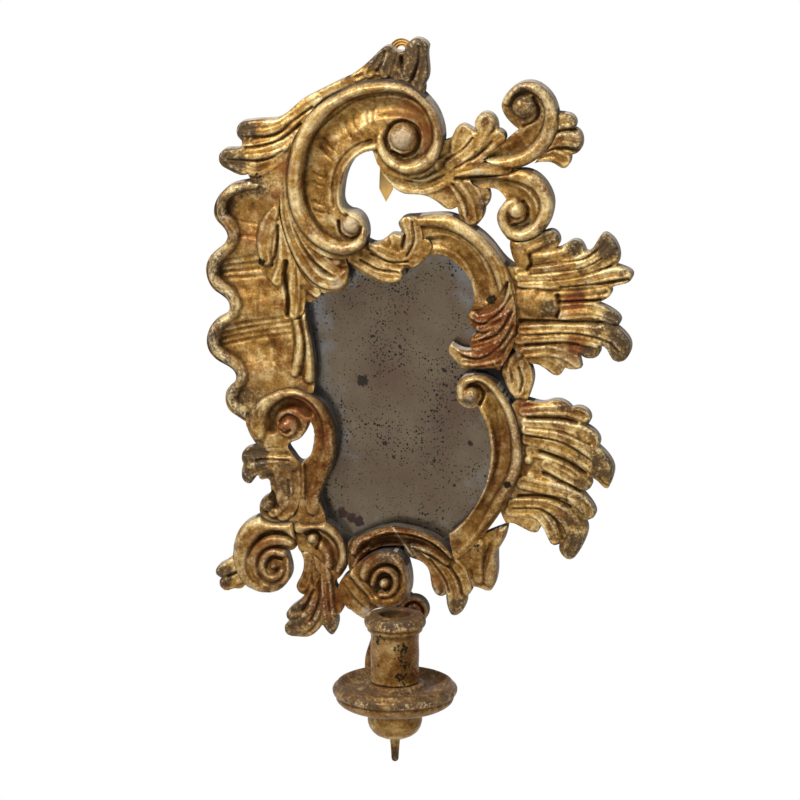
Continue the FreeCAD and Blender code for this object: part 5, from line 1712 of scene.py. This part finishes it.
        groove(1.6, 0.18, (256, 461), (272, 460), (288, 461)), groove(1.5, 0.15, (288, 480), (289, 500)),
        eye(7, 0.85, (266, 507)))),
    CarvedBlock("pendent_leaf", LEAF, 0.56, 0.42, 3.0, (
        lobe((5, 5, 5, 4.5), (0.9, 0.95, 0.95, 0.85), (318, 555), (324, 580), (326, 605), (331, 628)),
        lobe((4, 4.5, 5, 5), 0.8, (314, 565), (316, 585), (308, 605), (293, 613)),
        lobe((4, 5, 6, 5), 0.85, (318, 585), (314, 610), (302, 626), (290, 629)),
        lobe(4, 0.75, (322, 595), (318, 618), (308, 631)), lobe(4, 0.75, (306, 558), (307, 572), (302, 587)),
        lobe(3, 0.65, (312, 568), (309, 586)), lobe(4, 0.7, (330, 575), (336, 592), (340, 606)),
        groove(1.4, 0.18, (320, 575), (319, 600), (310, 622)), groove(1.3, 0.15, (328, 585), (330, 612)),
        groove(1.4, 0.18, (314, 590), (302, 612)), groove(1.4, 0.15, (311, 562), (312, 585)))),
    CarvedBlock("corner_leaf", LEAF, 0.56, 0.42, 3.0, (
        lobe(5, 0.85, (240, 566), (230, 567), (221, 571)), lobe(5, 0.8, (244, 575), (234, 580), (226, 586)),
        groove(1.6, 0.25, (240, 571), (228, 577)))),
    CarvedBlock("apron_leaf", LEAF, 0.56, 0.42, 3.0, (
        lobe(4.5, 0.8, (415, 552), (428, 565), (436, 580), (440, 592)),
        lobe((4, 5, 6, 6), 0.9, (425, 552), (442, 568), (452, 588), (456, 608)),
        lobe(5, 0.85, (438, 553), (456, 568), (464, 580), (468, 592)),
        groove(1.5, 0.2, (430, 560), (444, 578), (449, 592)), groove(1.5, 0.18, (445, 560), (458, 580), (462, 595)))),
    CarvedBlock("apron_corner", LEAF, 0.62, 0.45, 3.4, (
        roll(6, 0.85, (505, 528), (497, 545), (492, 565), (488, 582)),
        roll(8, 0.8, (478, 545), (476, 562), (479, 578)), groove(1.4, 0.1, (490, 545), (484, 562), (484, 580)))),
    CarvedBlock("upper_leaf_spray", LEAF, 0.56, 0.42, 3.0, (
        lobe(5, 0.85, (522, 250), (535, 243), (552, 236)),
        lobe((5, 6, 6, 5), 0.75, (533, 262), (555, 261), (573, 254), (579, 246)),
        lobe((3, 4, 5, 7, 7), (0.8, 0.85, 0.9, 0.9, 0.9), (518, 272), (550, 271), (580, 264), (600, 252), (609, 241)),
        lobe((3, 3.5, 4, 4, 4), 0.85, (518, 279), (550, 279), (580, 274), (600, 265), (614, 256)),
        lobe((3, 4, 4.5, 5, 5), 0.9, (520, 285), (555, 285), (585, 282), (605, 277), (626, 274)),
        lobe(3, 0.7, (535, 291), (570, 292), (600, 289), (622, 281)),
        lobe(3.5, 0.75, (555, 298), (580, 297), (606, 293)),
        lobe(4, 0.8, (560, 310), (585, 308), (605, 313), (617, 320)),
        lobe(2.5, 0.85, (560, 318), (590, 316), (612, 322)),
        lobe((3, 3.5, 4, 5, 7, 7), (0.8, 0.85, 0.9, 0.9, 0.95, 0.9), (520, 331), (555, 329), (585, 331), (608, 336),
             (622, 346), (624, 354)),
        lobe((4, 5, 5, 5, 5), 0.9, (518, 341), (550, 338), (580, 340), (602, 345), (617, 355)),
        lobe(4, 0.7, (520, 349), (550, 347), (572, 346), (590, 352)),
        lobe(4, 0.8, (524, 354), (550, 352), (568, 358), (579, 365)),
        lobe(3.5, 0.7, (530, 360), (548, 365), (558, 372)), strand(6, 0.76, (518, 246), (524, 262)),
        strand((8, 11, 10, 7), (0.7, 0.84, 0.9, 0.86), (521, 300), (533, 303), (545, 305), (553, 307)),
        groove(2.2, 0.22, (557, 296), (559, 306), (556, 318)), groove(1.8, 0.18, (529, 255), (531, 264), (527, 270)),
        groove(2.6, 0.22, (520, 322), (560, 323), (600, 324)), groove(1.9, 0.2, (558, 303), (600, 301)),
        groove(1.3, 0.16, (530, 267), (580, 260), (597, 250)), groove(1.2, 0.14, (530, 275), (580, 269), (602, 259)),
        groove(1.2, 0.14, (520, 282), (570, 279), (610, 267)), groove(1.6, 0.22, (560, 288), (600, 284), (628, 279)),
        groove(1.4, 0.18, (520, 336), (570, 334), (605, 341), (619, 352)),
        groove(1.8, 0.18, (525, 345), (560, 343), (578, 345)))),
    CarvedBlock("lower_leaf_spray", LEAF, 0.56, 0.42, 3.0, (
        lobe(4, 0.75, (525, 407), (550, 405), (566, 406)),
        lobe((3, 3.5, 4, 5), 0.8, (522, 413), (550, 411), (570, 412), (585, 417)),
        lobe((3.5, 4, 5, 5), 0.85, (525, 425), (555, 427), (580, 433), (597, 442)),
        lobe((3, 4, 4.5, 6, 6), 0.95, (524, 432), (555, 437), (580, 447), (600, 461), (608, 478)),
        lobe((4, 4.5, 5, 5), 0.85, (526, 441), (555, 447), (580, 459), (598, 472)),
        lobe(4, 0.75, (530, 452), (555, 458), (575, 468), (588, 482)),
        lobe(4, 0.8, (546, 466), (565, 477), (582, 487)),
        lobe((5, 5, 5, 6), 0.85, (522, 484), (545, 489), (568, 495), (590, 512)),
        lobe(4, 0.7, (545, 482), (568, 488), (585, 500)),
        lobe((4, 4.5, 6, 7, 6), (0.8, 0.85, 0.9, 0.95, 0.9), (512, 505), (540, 505), (562, 515), (575, 535),
             (570, 552)), lobe(4, 0.75, (510, 512), (535, 514), (548, 528), (553, 541)),
        lobe(3.5, 0.65, (512, 521), (528, 524), (536, 527)), lobe(5, 0.7, (565, 505), (580, 520), (583, 535)),
        eye(6, 0.8, (528, 461)), eye(7, 0.72, (530, 477)), groove(2.2, 0.2, (528, 419), (560, 420), (576, 424)),
        groove(1.3, 0.15, (526, 428), (560, 432), (590, 445)), groove(1.3, 0.16, (526, 436), (560, 442), (590, 460)),
        groove(2.6, 0.22, (540, 452), (565, 462), (585, 474)), groove(2, 0.22, (543, 474), (566, 485), (580, 492)),
        groove(2, 0.22, (518, 497), (548, 498), (570, 508)),
        groove(1.5, 0.15, (512, 509), (540, 510), (556, 522), (562, 540)))),
    CarvedBlock("shell_panel", SHELL, 0.56, 0.44, 3.4, (
        dish((22, 30, 30), (0.3, 0.24, 0.4), (228, 206), (250, 212), (276, 222)),
        dish((26, 32, 32), (0.34, 0.26, 0.4), (222, 276), (250, 274), (286, 272)),
        dish((24, 29, 29), (0.34, 0.26, 0.4), (221, 346), (250, 344), (290, 342)),
        strand((4, 5, 4), 0.56, (236, 241), (250, 244), (266, 246)),
        strand((4, 5, 4), 0.6, (238, 312), (262, 311), (290, 309)),
        groove(2.6, 0.06, (222, 262), (245, 259), (260, 256)), groove(2.6, 0.07, (221, 268), (245, 266), (262, 263)),
        groove(2.6, 0.07, (221, 274), (245, 272), (263, 270)), groove(2.4, 0.05, (224, 280), (246, 279), (264, 277)),
        groove(2.8, 0.08, (224, 328), (250, 323), (288, 318)), groove(2.8, 0.08, (220, 335), (250, 329), (288, 323)),
        groove(2.8, 0.07, (220, 341), (250, 335), (288, 329)), groove(2.6, 0.06, (221, 347), (250, 341), (289, 335)),
        groove(1.4, 0.06, (226, 232), (240, 236), (256, 238)), groove(1.2, 0.05, (232, 220), (244, 224), (256, 226)),
        strand(3.4, 0.74, (296, 320), (299, 340), (297, 360), (294, 374)),
        strand(4, 0.82, (305, 318), (309, 340), (310, 360), (308, 380)),
        groove(1.6, 0.14, (300, 322), (304, 342), (303, 362), (300, 376)),
        groove(1.2, 0.1, (291, 322), (293, 345), (291, 370)),
        roll((5.5, 6, 6, 5.5), 0.84, (254, 185), (240, 187), (228, 193), (221, 203), (221, 216), (228, 225),
             (233, 236), (229, 246), (219, 256), (213, 266), (213, 279), (220, 288), (229, 295), (235, 305),
             (233, 313), (223, 321), (215, 330), (212, 341), (215, 351), (223, 358), (233, 364), (241, 373),
             (240, 382), (234, 389), (231, 398), (235, 407), (246, 415)),
        groove(0.8, 0.09, (258, 288), (257, 304), (258, 318)), groove(0.8, 0.07, (273, 345), (272, 354), (272, 362)),
        groove(0.8, 0.09, (295, 342), (295, 352), (294, 362)))),
)

ARM = CandleArm(
    CarvedBlock("candle_arm", 16.0, 0.7, 0.4, 3.0, (
        roll((4, 5, 5, 4.5), 0.95, (399, 612), (404, 602), (414, 598), (424, 604), (427, 614), (421, 623),
             (411, 625)), roll((3, 3.5, 3), 0.85, (406, 614), (410, 606), (418, 608), (420, 615), (414, 619)),
        groove(1.5, 0.2, (402, 616), (407, 605), (416, 602), (423, 609), (422, 618), (414, 622)),
        groove(1.3, 0.2, (409, 615), (413, 610), (417, 613), (414, 617))), board=2.0),
    ((381, 640, 14.72), (374, 664, 18.4), (378, 694, 25.76)), (47.84, 75.2), (-4.0, 10.0), (8.1, 5.95))

TURNED = (
    TurnedPiece("candle_nozzle", "nozzle_body", (
        (3.4, 0), (18.3, 0), (18.6, 0.8), (18.3, 2.2), (18.15, 6), (18.1, 20), (18, 33), (18.1, 36.6), (18.6, 37.5),
        (19.4, 38.6), (20.4, 39.2), (20.9, 40.2), (20.8, 41.2), (20.5, 41.9), (20.9, 42.3), (22.2, 43), (23, 44.2),
        (23.15, 45.6), (22.9, 47.2), (22.3, 48.8), (21.6, 50.2), (20.6, 51.2), (19, 51.6), (16.6, 51.3), (15.4, 51.6),
        (14.6, 52.3), (13.4, 52.5), (12.2, 52.2), (11.5, 51.4), (11.5, 40), (11.5, 22.6), (6.9, 22.5), (6.9, 19.6),
        (3.4, 19.5), (3.4, 0)),
        ((0, 0.1), (40, 0.15), (44, 0.45), (49, 0.9)), 0.55),
    TurnedPiece("drip_pan", "pan_body", (
        (3.4, 0), (18.4, 0), (26, 0.6), (33, 1.8), (38, 3.4), (41.6, 5.6), (43.6, 7.6), (44.4, 9.2), (44.4, 10.4),
        (43.8, 11), (43.7, 11.6), (44.6, 12), (46, 12.8), (46.8, 14), (47, 15.6), (46.6, 17), (45.6, 18.2),
        (44.4, 18.8), (43.9, 19.3), (43.7, 20.2), (42.9, 21.3), (41.6, 21.7), (40.4, 21.2), (38.8, 19.8),
        (37.2, 18.2), (34.6, 17.2), (32.5, 16.7), (28, 16.6), (25, 16.8), (23.2, 17.8), (22.4, 19.4), (21.8, 20.8),
        (20.6, 21.6), (19.4, 21.8), (3.4, 22), (3.4, 0)),
        ((0, 0.3), (9, 0.35), (13, 0.55), (17, 0.8)), 0.75),
    TurnedPiece("bottom_knop", "mirror_frame", (
        (3.2, 0), (6.5, 0.2), (10.5, 1.8), (14.2, 3.6), (17.2, 6.4), (19.4, 9.8), (20.6, 13.4), (20.6, 15.6),
        (20.1, 18.6), (19.2, 20.8), (18.6, 22.4), (3.2, 22.6), (3.2, 0)),
        ((0, 0.1), (22, 0.05)), 0.15),
    TurnedPiece("candle_pin", "mirror_frame", (
        (0.01, 0), (1.2, 0.2), (2.2, 1), (2.7, 2.4), (2.9, 6), (3.3, 12), (3.8, 17.6), (3.9, 18.4), (3.2, 18.4),
        (3.2, 50), (3.2, 83.3), (6.5, 83.4), (6.5, 85.2), (5.6, 85.8), (0.01, 85.8)),
        ((0, 0.8), (18, 0.5)), 0.6, "wrought_iron", 0.15),
)

RIBBON = HangingRibbon(
    "hanging_ribbon", 10.6, 6.0, 10.0,
    ((386, 202), (387, 170), (391, 130), (396, 95), (397, 72)),
    ((395, 60), (393, 51), (396, 44), (402, 41.5), (408, 44), (410.5, 51), (405, 59), (400, 66), (398, 73)),
    (8.4, 8.4, 8.4, 8.4, 8.4, 8.4, 9.4, 10.4, 11.2))


# The stage: floor, lamps and surroundings


@dataclass(frozen=True)
class Studio:
    """A pale floor, soft lamps and white surroundings."""

    floor_z: float = -0.95
    floor_side: float = 0.9
    floor_glow: float = 0.3
    middle: tuple[float, float, float] = (0.0, -0.02, -0.27)

    def lamp(self, name: str, place: tuple[float, float, float], size: float, power: float) -> None:
        """A soft square lamp that looks at the object.

        Args:
            name: The lamp's name.
            place: Its place from the object's middle, in metres.
            size: Its side.
            power: Its power in watts.
        """
        light = bpy.data.lights.new(name, "AREA")
        light.size = size
        light.energy = power
        lamp = bpy.data.objects.new(name, light)
        lamp.location = Vector(self.middle) + Vector(place)
        lamp.rotation_euler = (-Vector(place)).to_track_quat("-Z", "Y").to_euler()
        bpy.context.scene.collection.objects.link(lamp)

    @staticmethod
    def looked_at(tree: bpy.types.NodeTree) -> Any:
        """What the camera sees, straight, in a reflection or through glass.

        Args:
            tree: The node tree.
        Returns:
            Socket with 1 for such a ray and 0 for others.
        """
        path = put(tree, "ShaderNodeLightPath", {})
        seen = combined(tree, "MAXIMUM", path.outputs["Is Camera Ray"], path.outputs["Is Transmission Ray"])
        return combined(tree, "MAXIMUM", seen, path.outputs["Is Glossy Ray"])

    def build(self) -> None:
        """Set up the surroundings, the floor and the lamps."""
        scene = bpy.context.scene
        scene.view_settings.view_transform = "Standard"
        world = bpy.data.worlds.new("studio")
        scene.world = world
        world.use_nodes = True
        tree = world.node_tree
        tree.nodes.clear()
        soft = put(tree, "ShaderNodeBackground", {"Color": linear("#F4F6FA"), "Strength": 0.22})
        white = put(tree, "ShaderNodeBackground", {"Color": (1, 1, 1, 1), "Strength": 1.0})
        both = put(tree, "ShaderNodeMixShader", {}, {0: self.looked_at(tree), 1: soft.outputs[0], 2: white.outputs[0]})
        put(tree, "ShaderNodeOutputWorld", {}, {"Surface": both.outputs[0]})
        made, tree, shader = surface("floor_paint_pale_matt", {"Roughness": 0.9, "Emission Color": (1, 1, 1, 1)})
        colour = ramp(tree, noise(tree, 300.0, 2.0), [(0.3, "#EFEFEE"), (0.7, "#F6F6F5")])
        glow = combined(tree, "MULTIPLY", self.looked_at(tree), self.floor_glow)
        wire(tree, shader, {"Base Color": colour, "Emission Strength": glow})
        mesh = bpy.data.meshes.new("floor")
        side = self.floor_side
        corners = [(x, y, self.floor_z) for x, y in ((-side, -side), (side, -side), (side, side), (-side, side))]
        mesh.from_pydata(corners, [], [(0, 1, 2, 3)])
        mesh.materials.append(made)
        floor = bpy.data.objects.new("floor", mesh)
        scene.collection.objects.link(floor)
        self.lamp("key", (-0.6, -1.0, 1.2), 0.3, 28.0)
        self.lamp("fill", (0.5, -1.9, -0.1), 0.6, 5.0)
        self.lamp("top", (0.1, -0.35, 1.5), 0.6, 9.0)


def dress(node: str, material: bpy.types.Material) -> None:
    """Give a carried-over solid its finish.

    Args:
        node: The solid's name.
        material: Its finish.
    """
    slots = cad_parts[node].data.materials
    slots.clear()
    slots.append(material)
    LOG.info("%s dressed", node)


def main() -> None:
    """Build everything in order."""
    logging.basicConfig(level=logging.INFO, format="%(message)s")
    VIEW.add_camera()
    Studio().build()
    gilding, gesso = WaterGilding().build(), ScrapedGesso().build()
    back = PlainWood("limewood_sawn_aged", "#9C7E58", "#6E5436").build()
    pine = PlainWood("pine_planed_aged", "#A58358", "#755634").build()
    board = PlainWood("pine_planed_dark_with_age_and_shaded_front", "#7A5D3E", "#4C3622", front_shade_mm=(8.0, 12.0)).build()
    iron = HammeredIron().build()
    sight = back_loops("ground_board", BOARD_MM, 1.0)[1]
    crowd = Crowd({block.node: np.vstack(back_loops(block.node, block.board, block.pitch)) for block in BLOCKS}, sight)
    for block in BLOCKS:
        block.build((gilding, gesso, back), crowd)
    LookingGlass("mirror_plate", sight, board=7.0, pitch=1.1).build(OldSilvering().build())
    ARM.build((gilding, gesso, back))
    for turned in TURNED:
        turned.build(gilding)
    RIBBON.build(SatinWeave().build())
    dress("ground_board", board)
    dress("backboard", pine)
    for node in ("backboard_sprigs", "arm_strap", "strap_nails", "ribbon_staple"):
        dress(node, iron)


if __name__ == "__main__":
    main()
